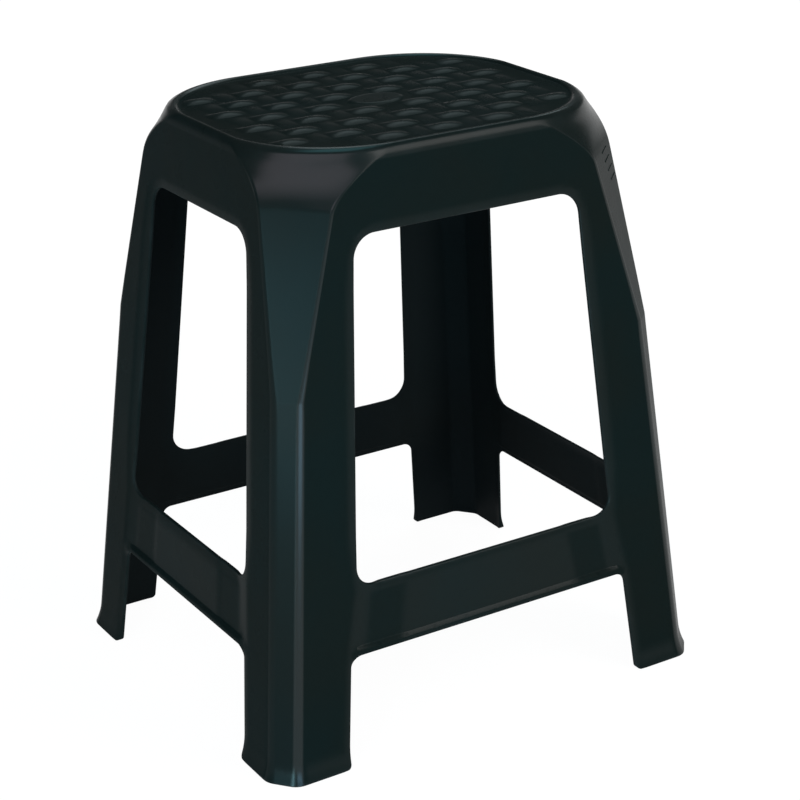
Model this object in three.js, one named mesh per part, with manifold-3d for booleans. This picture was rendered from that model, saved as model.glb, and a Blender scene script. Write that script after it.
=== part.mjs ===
// Stacking stool: one thin-walled plastic moulding, given as the members that make up its wall.
// Millimetres, +Z up. The origin is the centre of the footprint on the floor.
// The front looks along -Y and the left side along -X.

import * as THREE from "three";
import { mergeVertices } from "three/addons/utils/BufferGeometryUtils.js";
import Module from "manifold-3d";

const wasm = await Module();
wasm.setup();

// Overall size: the four walls are planes that lean in from the floor to the seat
const seatHeight = 452;
const floorHalfWidth = 191.6;
const floorHalfDepth = 164.9;
const seatHalfWidth = 147.7;
const seatHalfDepth = 121.1;
const wall = 2.5;

// Width of a leg's face, from the corner where two walls would meet to the edge of the window
const frontLegAtApron = 57.8;
const frontLegOverStretcher = 63.6;
const frontLegUnderStretcher = 57.8;
const frontLegAtFloor = 57.4;
const sideLegAtApron = 54.2;
const sideLegOverStretcher = 56.6;
const sideLegUnderStretcher = 56.8;
const sideLegAtFloor = 56.5;

// Apron and stretcher bands
const apronHeight = 59.4;
const stretcherTop = 135.8;
const stretcherHeight = 51;
const windowTopRadius = 18;
const windowFootRadius = 15;
const openingRadius = 9;

// Stretcher face: set back from the legs, with a turned top edge and a bead along the bottom
const stretcherSetBack = 1.2;
const stretcherRamp = 9;
const turnedEdgeHeight = 5;
const turnedEdgeDepth = 1;
const beadHeight = 6;
const beadRise = 1.4;
const beadSlope = 1;

// Corners: a narrow cut up to the knee, then a panel that widens, then a shoulder up to the seat
const floorCutWidth = 14;
const floorCutDepth = 18.5;
const kneeCutWidth = 15;
const kneeCutDepth = 14.7;
const kneeHeight = 284;
const shoulderHeight = 33.5;
const shoulderLap = 12;
const panelCutWidth = 45;
const panelCutDepth = 35.3;
const seatCut = 55;
const legEdgeRadius = 5;
const seatEdgeRadius = 86;
const innerEdgeRadius = 2;

// Foot: the outside of the wall flares outwards
const footHeight = 18;
const footFlare = 3.5;
const footCornerRadius = 4;

// Seat: a rounded rim round a panel that lies a little lower
const rimRadius = 5;
const rimWidth = 8;
const seatDrop = 2;
const seatWall = 3;

// Basket weave on the seat panel
const strandPitchX = 22.75;
const strandPitchY = 23.5;
const crestLength = 27;
const crestWidth = 16;
const crestRise = 1.3;
const crestShoulder = 3.5;
const weaveMargin = 15;
const ovalHalfLength = 24;
const ovalHalfWidth = 16;
const ovalShoulder = 1.2;

// Under the seat: ribs that run out from a boss, and stops that carry the next stool of a stack
const ribThickness = 2;
const ribDepth = 12;
const bossRadius = 9;
const bossDepth = 16;
const stackingPitch = 45;
const stopThickness = 2.5;
const stopReach = 26;

// Clearances
const seam = 0.3;
const overrun = 20;

// Counts of steps in round shapes
const edgeSteps = 3;
const filletSteps = 6;
const flareSteps = 4;
const shoulderSteps = 5;
const rimSteps = 3;
const ovalSteps = 24;
const bossSteps = 24;
const crestSteps = 8;

const apronBottom = seatHeight - apronHeight;
const stretcherBottom = stretcherTop - stretcherHeight;
const shoulderBase = seatHeight - shoulderHeight;
const seatUnderside = seatHeight - seatDrop - seatWall;
const { lerp } = THREE.MathUtils;

// How far the middle of a fillet lies inside its corner, as a share of the radius
const filletMiddleShare = 1 - Math.SQRT1_2;

const widthAt = (z) => lerp(floorHalfWidth, seatHalfWidth, z / seatHeight);
const depthAt = (z) => lerp(floorHalfDepth, seatHalfDepth, z / seatHeight);

// The two kinds of side: the front and back, then the left and right
const frontSide = {
  halfAt: widthAt,
  wallAt: depthAt,
  legs: [frontLegAtApron, frontLegOverStretcher, frontLegUnderStretcher, frontLegAtFloor],
};
const endSide = {
  halfAt: depthAt,
  wallAt: widthAt,
  legs: [sideLegAtApron, sideLegOverStretcher, sideLegUnderStretcher, sideLegAtFloor],
};

// Turns a corner of an outline into an arc of so many steps
function roundedCorner(before, corner, after, radius, steps) {
  if (radius === 0) return [corner];
  const toBefore = before.clone().sub(corner).normalize();
  const toAfter = after.clone().sub(corner).normalize();
  const half = Math.acos(THREE.MathUtils.clamp(toBefore.dot(toAfter), -1, 1)) / 2;
  const middle = toBefore.clone().add(toAfter).normalize();
  const centre = corner.clone().addScaledVector(middle, radius / Math.sin(half));
  const start = corner.clone().addScaledVector(toBefore, radius / Math.tan(half)).sub(centre);
  const turn = Math.sign(toAfter.cross(toBefore)) * (Math.PI - 2 * half);
  return Array.from({ length: steps + 1 }, (_, i) =>
    start
      .clone()
      .rotateAround(new THREE.Vector2(), (turn * i) / steps)
      .add(centre),
  );
}

// An outline of [x, y, radius] corners, with each corner rounded
function roundedOutline(corners, steps) {
  const points = corners.map(([x, y]) => new THREE.Vector2(x, y));
  const count = points.length;
  return corners.flatMap(([, , radius], i) =>
    roundedCorner(
      points[(i + count - 1) % count],
      points[i],
      points[(i + 1) % count],
      radius,
      steps,
    ),
  );
}

// How far a height lies between two others, as a share from 0 to 1
const shareBetween = (z, low, high) => THREE.MathUtils.clamp((z - low) / (high - low), 0, 1);

const shoulderShare = (z) => shareBetween(z, shoulderBase, seatHeight);

// How much of a wall the corner takes at a height: [along X, along Y]
function cornerCuts(z) {
  const stages = [
    [0, kneeHeight, kneeCutWidth, kneeCutDepth],
    [kneeHeight, shoulderBase, panelCutWidth, panelCutDepth],
    [shoulderBase, seatHeight, seatCut, seatCut],
  ];
  return stages.reduce(
    ([cutX, cutY], [low, high, toX, toY]) => {
      const share = shareBetween(z, low, high);
      return [lerp(cutX, toX, share), lerp(cutY, toY, share)];
    },
    [floorCutWidth, floorCutDepth],
  );
}

// The stool's plan outline at a height, moved inwards by an inset
function planOutline(z, inset) {
  const width = widthAt(z) - inset;
  const depth = depthAt(z) - inset;
  const [cutX, cutY] = cornerCuts(z);
  const keep = 1 + inset * (Math.hypot(1 / cutX, 1 / cutY) - 1 / cutX - 1 / cutY);
  const radius = lerp(legEdgeRadius, seatEdgeRadius, shoulderShare(z)) - inset;
  const alongX = width - keep * cutX;
  const alongY = depth - keep * cutY;
  const edge = Math.max(radius, innerEdgeRadius);
  return roundedOutline(
    [
      [width, -alongY, edge],
      [width, alongY, edge],
      [alongX, depth, edge],
      [-alongX, depth, edge],
      [-width, alongY, edge],
      [-width, -alongY, edge],
      [-alongX, -depth, edge],
      [alongX, -depth, edge],
    ],
    edgeSteps,
  );
}

function flareAt(z) {
  return footFlare * (1 - shareBetween(z, 0, footHeight)) ** 2;
}

function rimInsetAt(z) {
  const climb = THREE.MathUtils.clamp(z - (seatHeight - rimRadius), 0, rimRadius);
  return rimRadius - Math.sqrt(rimRadius * rimRadius - climb * climb);
}

const outerOutline = (z) => planOutline(z, rimInsetAt(z) - flareAt(z));

// A closed surface through rings of points that run counter-clockwise, from the lowest ring up
function loft(rings) {
  const size = rings[0].length;
  const points = rings.flat();
  const index = [];
  for (let level = 0; level + 1 < rings.length; level += 1) {
    for (let i = 0; i < size; i += 1) {
      const a = level * size + i;
      const b = level * size + ((i + 1) % size);
      index.push(a, b, b + size, a, b + size, a + size);
    }
  }
  const flat = (ring) => ring.map((p) => new THREE.Vector2(p.x, p.y));
  const top = (rings.length - 1) * size;
  for (const [a, b, c] of THREE.ShapeUtils.triangulateShape(flat(rings[0]), [])) {
    index.push(a, c, b);
  }
  for (const [a, b, c] of THREE.ShapeUtils.triangulateShape(flat(rings.at(-1)), [])) {
    index.push(top + a, top + b, top + c);
  }
  return new THREE.BufferGeometry().setFromPoints(points).setIndex(index);
}

const raise = (outline, z) => outline.map((p) => new THREE.Vector3(p.x, p.y, z));

// A geometry as a solid that can be joined and cut
function solid(geometry) {
  const bare = geometry.clone();
  bare.deleteAttribute("normal");
  bare.deleteAttribute("uv");
  const merged = mergeVertices(bare);
  return new wasm.Manifold(
    new wasm.Mesh({
      numProp: 3,
      vertProperties: new Float32Array(merged.attributes.position.array),
      triVerts: new Uint32Array(merged.index.array),
    }),
  );
}

// A solid as a geometry that can be shown
function geometryOf(body) {
  const { vertProperties, triVerts } = body.getMesh();
  const shared = new THREE.BufferGeometry()
    .setAttribute("position", new THREE.BufferAttribute(vertProperties, 3))
    .setIndex(new THREE.BufferAttribute(triVerts, 1));
  const flat = shared.toNonIndexed();
  flat.computeVertexNormals();
  return flat;
}

function box(low, high) {
  const size = high.clone().sub(low);
  const middle = low.clone().add(high).multiplyScalar(0.5);
  return solid(new THREE.BoxGeometry(size.x, size.y, size.z).translate(...middle));
}

// A prism with a plan outline, between two heights
const column = (outline, low, high) => solid(loft([raise(outline, low), raise(outline, high)]));

// A prism that runs through a side wall: the outline is drawn on the wall, as [along, up]
function throughSide(outline, side) {
  const reach = Math.max(floorHalfWidth, floorHalfDepth) + overrun;
  const drawn = new THREE.ExtrudeGeometry(new THREE.Shape(outline), {
    depth: reach,
    bevelEnabled: false,
  });
  drawn.rotateX(Math.PI / 2).translate(0, reach, 0);
  return solid(side === frontSide ? drawn : drawn.rotateZ(-Math.PI / 2));
}

// Half width of the window or the lower opening at the levels where the legs' widths are given
function windowHalves(side) {
  const levels = [apronBottom, stretcherTop, stretcherBottom, 0];
  return levels.map((z, i) => side.halfAt(z) - side.legs[i]);
}

function windowCut(side) {
  const [top, foot] = windowHalves(side);
  return throughSide(
    roundedOutline(
      [
        [-foot, stretcherTop, windowFootRadius],
        [foot, stretcherTop, windowFootRadius],
        [top, apronBottom, windowTopRadius],
        [-top, apronBottom, windowTopRadius],
      ],
      filletSteps,
    ),
    side,
  );
}

// The lower opening runs down past the floor, and rounds the feet's bottom corners
function openingCut(side) {
  const [, , top, floor] = windowHalves(side);
  const wide = floor + 2 * footCornerRadius;
  return throughSide(
    roundedOutline(
      [
        [-wide, -overrun, 0],
        [wide, -overrun, 0],
        [wide, 0, 0],
        [floor, 0, footCornerRadius],
        [top, stretcherBottom, openingRadius],
        [-top, stretcherBottom, openingRadius],
        [-floor, 0, footCornerRadius],
        [-wide, 0, 0],
      ],
      filletSteps,
    ),
    side,
  );
}

// Where the apron ends: from the middle of the window's fillet up to the shoulder
function apronRegion(side, grow) {
  const inside = windowTopRadius * filletMiddleShare;
  const foot = windowHalves(side)[0] - inside + grow;
  const top = side.halfAt(seatHeight) - seatCut - shoulderLap + grow;
  const low = apronBottom - inside - grow;
  return throughSide(
    [
      new THREE.Vector2(-foot, low),
      new THREE.Vector2(foot, low),
      new THREE.Vector2(top, seatHeight + overrun),
      new THREE.Vector2(-top, seatHeight + overrun),
    ],
    side,
  );
}

// The line on which a stretcher meets its legs, as half lengths at the region's two heights
function stretcherEnds(side) {
  const [, above, below] = windowHalves(side);
  return {
    high: stretcherTop + windowFootRadius * filletMiddleShare,
    low: stretcherBottom - openingRadius * filletMiddleShare,
    highHalf: above - windowFootRadius * filletMiddleShare,
    lowHalf: below - openingRadius * filletMiddleShare,
  };
}

function stretcherRegion(side, grow) {
  const { high, low, highHalf, lowHalf } = stretcherEnds(side);
  return throughSide(
    [
      new THREE.Vector2(-lowHalf - grow, low - grow),
      new THREE.Vector2(lowHalf + grow, low - grow),
      new THREE.Vector2(highHalf + grow, high + grow),
      new THREE.Vector2(-highHalf - grow, high + grow),
    ],
    side,
  );
}

// The stretcher's wall along +Y, before its windows are cut: set back between two ramps
function stretcherWall(side) {
  const { high, low, highHalf, lowHalf } = stretcherEnds(side);
  const beadTop = stretcherBottom + beadHeight;
  const levels = [
    [low - overrun, stretcherSetBack - beadRise],
    [beadTop, stretcherSetBack - beadRise],
    [beadTop + beadSlope, stretcherSetBack],
    [stretcherTop - turnedEdgeHeight, stretcherSetBack],
    [stretcherTop, stretcherSetBack + turnedEdgeDepth],
    [high + overrun, stretcherSetBack + turnedEdgeDepth],
  ];
  const rings = levels.map(([z, setBack]) => {
    const half = lerp(lowHalf, highHalf, (z - low) / (high - low));
    const face = side.wallAt(z);
    const columns = [
      [half + overrun, 0],
      [half, 0],
      [half - stretcherRamp, setBack],
      [stretcherRamp - half, setBack],
      [-half, 0],
      [-half - overrun, 0],
    ];
    const outer = columns.map(([s, d]) => new THREE.Vector3(s, face - d, z));
    const inner = columns.map(([s, d]) => new THREE.Vector3(s, face - d - wall, z)).reverse();
    return [...outer, ...inner];
  });
  return solid(loft(rings));
}

const range = (from, to, steps) =>
  Array.from({ length: steps + 1 }, (_, i) => lerp(from, to, i / steps));

const wallLevels = [
  ...range(0, footHeight, flareSteps),
  kneeHeight,
  ...range(shoulderBase, seatHeight - rimRadius, shoulderSteps),
];

const rimLevels = range(0, Math.PI / 2, rimSteps)
  .slice(1)
  .map((angle) => seatHeight - rimRadius + rimRadius * Math.sin(angle));

// The space inside the walls, below the seat
function innerSpace(clearance) {
  const ceiling = seatUnderside - clearance;
  const levels = [...wallLevels.filter((z) => z < ceiling - clearance), ceiling];
  const inset = wall + clearance;
  const floor = raise(planOutline(0, inset), -overrun);
  return solid(loft([floor, ...levels.map((z) => raise(planOutline(z, inset), z))]));
}

const outerBody = solid(loft([...wallLevels, ...rimLevels].map((z) => raise(outerOutline(z), z))));
const seatHole = column(
  planOutline(seatHeight, rimWidth - seam / 2),
  seatUnderside - overrun,
  seatHeight + overrun,
);

// The walls with the windows of the back and the right side: the other two are copies
const shell = [frontSide, endSide].reduce(
  (body, side) => body.subtract(windowCut(side)).subtract(openingCut(side)),
  outerBody.subtract(innerSpace(0)).subtract(seatHole),
);

// The corner's quarter between two heights
function quarter(low, high) {
  const reach = Math.max(floorHalfWidth, floorHalfDepth) + overrun;
  return shell.intersect(box(new THREE.Vector3(0, 0, low), new THREE.Vector3(reach, reach, high)));
}

// Where the leg ends under the shoulder: the middle of the higher window fillet
const legTop = apronBottom - windowTopRadius * filletMiddleShare;

const makeFoot = () => quarter(-overrun, footHeight - seam / 2);

const makeLeg = () =>
  quarter(footHeight + seam / 2, legTop - seam / 2)
    .subtract(stretcherRegion(frontSide, seam / 2))
    .subtract(stretcherRegion(endSide, seam / 2));

const makeShoulder = () =>
  quarter(legTop + seam / 2, seatHeight + overrun)
    .subtract(apronRegion(frontSide, seam / 2))
    .subtract(apronRegion(endSide, seam / 2));

const makeApron = (side) => shell.intersect(apronRegion(side, -seam / 2));

function makeStretcher(side) {
  const wallBand = stretcherWall(side);
  const turned = side === frontSide ? wallBand : wallBand.rotate([0, 0, -90]);
  return turned
    .intersect(stretcherRegion(side, -seam / 2))
    .subtract(windowCut(side))
    .subtract(openingCut(side));
}

// A low pad with sloping edges, on the seat panel
function pad(halfLength, halfWidth, shoulder, steps, x, y) {
  const top = seatHeight - seatDrop;
  const ring = (shrink, z) =>
    Array.from({ length: steps }, (_, i) => {
      const angle = (2 * Math.PI * (i + 0.5)) / steps;
      return new THREE.Vector3(
        x + (halfLength - shrink) * Math.cos(angle),
        y + (halfWidth - shrink) * Math.sin(angle),
        z,
      );
    });
  return solid(loft([ring(0, top - seatWall / 2), ring(0, top), ring(shoulder, top + crestRise)]));
}

// The places of the strands' crests: every other one runs along X, and the rest along Y
function crestPlaces() {
  const field = planOutline(seatHeight, rimWidth + weaveMargin);
  const countX = Math.floor(seatHalfWidth / strandPitchX);
  const countY = Math.floor(seatHalfDepth / strandPitchY);
  const places = [];
  for (let m = -countX; m <= countX; m += 1) {
    for (let n = -countY; n <= countY; n += 1) {
      const x = m * strandPitchX;
      const y = n * strandPitchY;
      const clearOfOval = Math.hypot(
        x / (ovalHalfLength + crestLength / 2),
        y / (ovalHalfWidth + crestWidth / 2),
      );
      if (clearOfOval > 1 && insideOutline(field, x, y)) {
        places.push({ x, y, alongX: (m + n) % 2 === 0 });
      }
    }
  }
  return places;
}

// Whether a point lies inside a convex outline that runs counter-clockwise
function insideOutline(outline, x, y) {
  return outline.every((a, i) => {
    const b = outline[(i + 1) % outline.length];
    return (b.x - a.x) * (y - a.y) - (b.y - a.y) * (x - a.x) > 0;
  });
}

function makeSeatPanel() {
  const plate = column(
    planOutline(seatHeight, rimWidth + seam / 2),
    seatUnderside,
    seatHeight - seatDrop,
  );
  const oval = pad(ovalHalfLength, ovalHalfWidth, ovalShoulder, ovalSteps, 0, 0);
  const crests = crestPlaces().map(({ x, y, alongX }) =>
    pad(
      (alongX ? crestLength : crestWidth) / 2,
      (alongX ? crestWidth : crestLength) / 2,
      crestShoulder,
      crestSteps,
      x,
      y,
    ),
  );
  return crests.reduce((body, crest) => body.add(crest), plate.add(oval));
}

const clearInside = innerSpace(seam);

function makeBoss() {
  const top = seatUnderside - seam;
  const profile = [
    new THREE.Vector2(0, top - bossDepth),
    new THREE.Vector2(bossRadius - ribThickness, top - bossDepth),
    new THREE.Vector2(bossRadius, top - bossDepth + ribThickness),
    new THREE.Vector2(bossRadius, top),
    new THREE.Vector2(0, top),
  ];
  return solid(new THREE.LatheGeometry(profile, bossSteps).rotateX(Math.PI / 2));
}

// A rib under the seat that runs from the boss towards a heading until it meets the wall
function makeRib(heading) {
  const reach = floorHalfWidth + floorHalfDepth;
  const blade = box(
    new THREE.Vector3(bossRadius + seam, -ribThickness / 2, seatUnderside - ribDepth),
    new THREE.Vector3(reach, ribThickness / 2, seatHeight),
  );
  return blade.rotate([0, 0, THREE.MathUtils.radToDeg(heading)]).intersect(clearInside);
}

// The middle of a corner at a height, on the inside of its wall
function innerCornerAt(z) {
  const [cutX, cutY] = cornerCuts(z);
  return new THREE.Vector2(widthAt(z) - wall - cutX / 2, depthAt(z) - wall - cutY / 2);
}

const stopBottom = seatHeight - stackingPitch;
const stopTop = seatUnderside - ribDepth - seam;
const cornerHeading = innerCornerAt(stopBottom).angle();

// A fin in the corner whose lower end stands on the rim of the stool below
function makeStop() {
  const start = innerCornerAt(stopBottom).length() - stopReach;
  const fin = box(
    new THREE.Vector3(start, -stopThickness / 2, stopBottom),
    new THREE.Vector3(floorHalfWidth + floorHalfDepth, stopThickness / 2, stopTop),
  );
  return fin.rotate([0, 0, THREE.MathUtils.radToDeg(cornerHeading)]).intersect(clearInside);
}

// Dark green-black polypropylene with a satin skin
function plastic() {
  return new THREE.MeshStandardMaterial({ color: 0x16211f, roughness: 0.42, metalness: 0 });
}

function member(name, geometry) {
  const mesh = new THREE.Mesh(geometry, plastic());
  mesh.name = name;
  return mesh;
}

// The four corners are mirror images of the one at the back right
function buildCorners() {
  const parts = [
    ["foot", geometryOf(makeFoot())],
    ["leg", geometryOf(makeLeg())],
    ["shoulder", geometryOf(makeShoulder())],
    ["seat_rib", geometryOf(makeRib(cornerHeading))],
    ["stacking_stop", geometryOf(makeStop())],
  ];
  const corners = new THREE.Group();
  for (const [side, signX] of [["left", -1], ["right", 1]]) {
    for (const [end, signY] of [["front", -1], ["back", 1]]) {
      const corner = new THREE.Group();
      corner.scale.set(signX, signY, 1);
      corner.add(...parts.map(([part, shape]) => member(`${end}_${side}_${part}`, shape)));
      corners.add(corner);
    }
  }
  return corners;
}

// The back and the right side are made, and each is turned half round for the one opposite
function buildSides() {
  const sides = new THREE.Group();
  const kinds = [
    [frontSide, ["back", "front"], Math.PI / 2],
    [endSide, ["right", "left"], 0],
  ];
  for (const [side, names, heading] of kinds) {
    const parts = [
      ["apron", geometryOf(makeApron(side))],
      ["stretcher", geometryOf(makeStretcher(side))],
      ["seat_rib", geometryOf(makeRib(heading))],
    ];
    names.forEach((name, i) => {
      const placed = new THREE.Group();
      placed.rotation.z = Math.PI * i;
      placed.add(...parts.map(([part, shape]) => member(`${name}_${part}`, shape)));
      sides.add(placed);
    });
  }
  return sides;
}

function buildSeat() {
  const seat = new THREE.Group();
  seat.add(member("seat_panel", geometryOf(makeSeatPanel())));
  seat.add(member("gate_boss", geometryOf(makeBoss())));
  return seat;
}

const stool = new THREE.Group();
stool.add(buildSeat(), buildSides(), buildCorners());

export default stool;
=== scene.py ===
"""Stacking stool: a thin-walled plastic moulding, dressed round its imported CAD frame.

The stool is measured in millimetres until its pieces become objects; the studio is in metres.
"""

import logging
import math
from dataclasses import dataclass, field
from enum import Enum
from functools import lru_cache
from typing import Callable

import bpy
import numpy as np
from mathutils import Matrix, Vector
from mathutils.geometry import delaunay_2d_cdt


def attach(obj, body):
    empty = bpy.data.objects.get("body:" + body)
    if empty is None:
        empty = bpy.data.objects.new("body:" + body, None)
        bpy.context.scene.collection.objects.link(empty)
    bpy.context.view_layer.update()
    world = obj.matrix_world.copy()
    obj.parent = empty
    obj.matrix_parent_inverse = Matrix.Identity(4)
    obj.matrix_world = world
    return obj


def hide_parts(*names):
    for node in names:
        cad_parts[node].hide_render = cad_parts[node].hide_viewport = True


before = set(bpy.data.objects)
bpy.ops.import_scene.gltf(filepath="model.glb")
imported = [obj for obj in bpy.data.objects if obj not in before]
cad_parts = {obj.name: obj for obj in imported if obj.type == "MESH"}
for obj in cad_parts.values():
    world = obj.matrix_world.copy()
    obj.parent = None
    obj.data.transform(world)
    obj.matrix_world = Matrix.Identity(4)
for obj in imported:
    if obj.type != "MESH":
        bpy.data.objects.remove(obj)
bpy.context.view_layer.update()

METRES = 0.001
BODY = "root"
TINY = 1e-12  # keeps a division by a length from failing
NO_BOW = 1e-6  # a face that bows less than this is taken as flat
MERGE_GAP = 1e-6  # points closer than this become one when a wall or the seat is filled

# The CAD nodes' names, with gaps for the end (front or back) and the side (left or right).
CORNER_NAMES = {part: "{end}_{side}_" + part for part in ("foot", "leg", "shoulder")}

# The corners of each face of a block whose points are laid in four rows of two.
BLOCK_FACES = ((0, 1, 3, 2), (4, 6, 7, 5), (0, 4, 5, 1), (2, 3, 7, 6), (0, 2, 6, 4), (1, 5, 7, 3))

# Numbers of the shader nodes' sockets that are used.
MIX_SHARE, MIX_FIRST, MIX_SECOND, MIX_COLOUR = 0, 6, 7, 2
CAMERA_RAY, GLOSSY_RAY, TRANSMISSION_RAY = 0, 3, 6
POSITION, LENGTH, VALUE = 0, 1, 2

log = logging.getLogger("stool")

Pair = tuple[float, float]
Triple = tuple[float, float, float]


class Side(Enum):
    """The two kinds of side wall, by the axis that they run along."""

    LONG = 0
    SHORT = 1


def lerp(low: float, high: float, share: float) -> float:
    """Returns the value at a share of the way from low to high."""
    return low + (high - low) * share


def share_between(value: float | np.ndarray, low: float, high: float) -> np.ndarray:
    """Returns how far a value lies between two others, from 0 to 1."""
    return np.clip((value - low) / (high - low), 0.0, 1.0)


def ease(value: float | np.ndarray, low: float, high: float) -> np.ndarray:
    """Returns 0 below low and 1 above high, with a smooth climb between them."""
    share = share_between(value, low, high)
    return share * share * (3.0 - 2.0 * share)


def soft_ramp(value: np.ndarray, blend: float) -> np.ndarray:
    """Returns 0 for negative values and the value itself past the blend, with a round bend."""
    bent = (value + blend) ** 2 / (4.0 * blend)
    return np.where(value < -blend, 0.0, np.where(value > blend, value, bent))


def soft_min(first: np.ndarray, second: np.ndarray, blend: float) -> np.ndarray:
    """Returns the lower of two fields, with a round bend where they meet."""
    return first - soft_ramp(first - second, blend)


def path_distance(points: np.ndarray, path: np.ndarray) -> np.ndarray:
    """Finds how far each point lies from a path of straight pieces.

    Args:
        points: the points, one in each row.
        path: the path's points in order.

    Returns:
        The distance of each point.
    """
    start = path[:-1]
    along = path[1:] - start
    length = np.maximum((along**2).sum(1), TINY)
    rest = points[:, None, :] - start[None]
    share = np.clip((rest * along[None]).sum(2) / length, 0.0, 1.0)
    gap = rest - share[..., None] * along[None]
    return np.sqrt((gap**2).sum(2)).min(1)


def inside_outline(points: np.ndarray, outline: np.ndarray) -> np.ndarray:
    """Tells which points lie inside a closed outline.

    Args:
        points: the points, one in each row.
        outline: the outline's corners in order.

    Returns:
        True for each point that is inside.
    """
    inside = np.zeros(len(points), bool)
    after = np.roll(outline, -1, axis=0)
    for (ax, ay), (bx, by) in zip(outline, after):
        crosses = (ay > points[:, 1]) != (by > points[:, 1])
        if ay != by:
            reach = ax + (points[:, 1] - ay) / (by - ay) * (bx - ax)
            inside ^= crosses & (points[:, 0] < reach)
    return inside


@dataclass
class Path:
    """An edge drawn on a wall, with the direction into the plastic at each point."""

    points: list[Pair] = field(default_factory=list)
    normals: list[Pair] = field(default_factory=list)
    marks: list[int] = field(default_factory=list)

    def offset(self, distance: float) -> list[Pair]:
        """Returns the points moved into the plastic by a distance."""
        return [(p[0] + n[0] * distance, p[1] + n[1] * distance)
                for p, n in zip(self.points, self.normals)]


def rounded_path(corners: list[Triple], hand: int, step: float, arc_steps: int) -> Path:
    """Draws a path through corners, each of which is turned into an arc.

    Args:
        corners: [along, up, radius] of each corner; the first and last are the ends.
        hand: 1 if the plastic lies to the left of the path and -1 if to the right.
        step: the longest straight piece.
        arc_steps: the even number of pieces of each arc.

    Returns:
        The path, with one mark for each corner: the point in the middle of its arc.
    """
    path = Path()
    spots = [Vector(corner[:2]) for corner in corners]

    def lay(to: Vector, direction: Vector) -> None:
        """Adds one point whose normal is square to a direction."""
        path.points.append((to.x, to.y))
        path.normals.append((-hand * direction.y, hand * direction.x))

    here = spots[0]
    for i in range(1, len(spots)):
        before = (spots[i] - spots[i - 1]).normalized()
        radius = corners[i][2]
        last = i + 1 == len(spots)
        after = before if last else (spots[i + 1] - spots[i]).normalized()
        turn = before.angle_signed(after) if radius else 0.0
        cut = radius * math.tan(abs(turn) / 2)
        stop = spots[i] - before * cut
        pieces = max(1, math.ceil((stop - here).length / step))
        for k in range(pieces):
            lay(here.lerp(stop, k / pieces), before)
        here = stop
        if not radius:
            if not last:
                path.marks.append(len(path.points))
            continue
        path.marks.append(len(path.points) + arc_steps // 2)
        bend = -math.copysign(1.0, turn)
        centre = stop + Vector((-before.y, before.x)) * radius * bend
        for k in range(arc_steps):
            swing = Matrix.Rotation(abs(turn) * bend * k / arc_steps, 2)
            lay(centre + swing @ (stop - centre), swing @ before)
        here = spots[i] + after * cut
    lay(spots[-1], (spots[-1] - spots[-2]).normalized())
    return path


@dataclass(frozen=True)
class Corner:
    """A corner's outline at one height: a rounded edge, a bowed face and another rounded edge.

    Angles are those by which the outline has turned since it left the long wall.
    """

    start: Pair
    edge_radii: Pair
    face_start: float
    face_end: float
    chord: float

    @property
    def lengths(self) -> Triple:
        """Lengths of the two edges and, between them, of the face."""
        bow = (self.face_end - self.face_start) / 2
        face = self.chord * (bow / math.sin(bow) if bow > NO_BOW else 1.0)
        return (self.edge_radii[0] * self.face_start, face,
                self.edge_radii[1] * (math.pi / 2 - self.face_end))

    @staticmethod
    def _edge(start: Pair, radius: float, turned: float, angle: float) -> Pair:
        """Returns the point of a rounded edge where the outline has turned by an angle."""
        return (start[0] + radius * (math.sin(angle) - math.sin(turned)),
                start[1] + radius * (math.cos(angle) - math.cos(turned)))

    def _face(self, share: float) -> tuple[Pair, float]:
        """Finds a point of the bowed face.

        Args:
            share: how far along the face the point lies, from 0 to 1.

        Returns:
            The point's X and Y, and the angle turned there.
        """
        start = self._edge(self.start, self.edge_radii[0], 0.0, self.face_start)
        bow = (self.face_end - self.face_start) / 2
        heading = self.face_start + bow * share
        reach = self.chord * (math.sin(bow * share) / math.sin(bow) if bow > NO_BOW else share)
        spot = (start[0] + reach * math.cos(heading), start[1] - reach * math.sin(heading))
        return spot, self.face_start + 2 * bow * share

    def at(self, length: float, inset: float) -> Pair:
        """Finds a point at a length along the outline.

        Args:
            length: the length from the long wall.
            inset: how far the point lies inside the outline.

        Returns:
            The point's X and Y.
        """
        first, face, _ = self.lengths
        if length <= first:
            angle = length / self.edge_radii[0]
            spot = self._edge(self.start, self.edge_radii[0], 0.0, angle)
        elif length <= first + face:
            spot, angle = self._face((length - first) / face)
        else:
            angle = self.face_end + (length - first - face) / self.edge_radii[1]
            spot = self._edge(self._face(1.0)[0], self.edge_radii[1], self.face_end, angle)
        return spot[0] - inset * math.sin(angle), spot[1] - inset * math.cos(angle)


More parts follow.
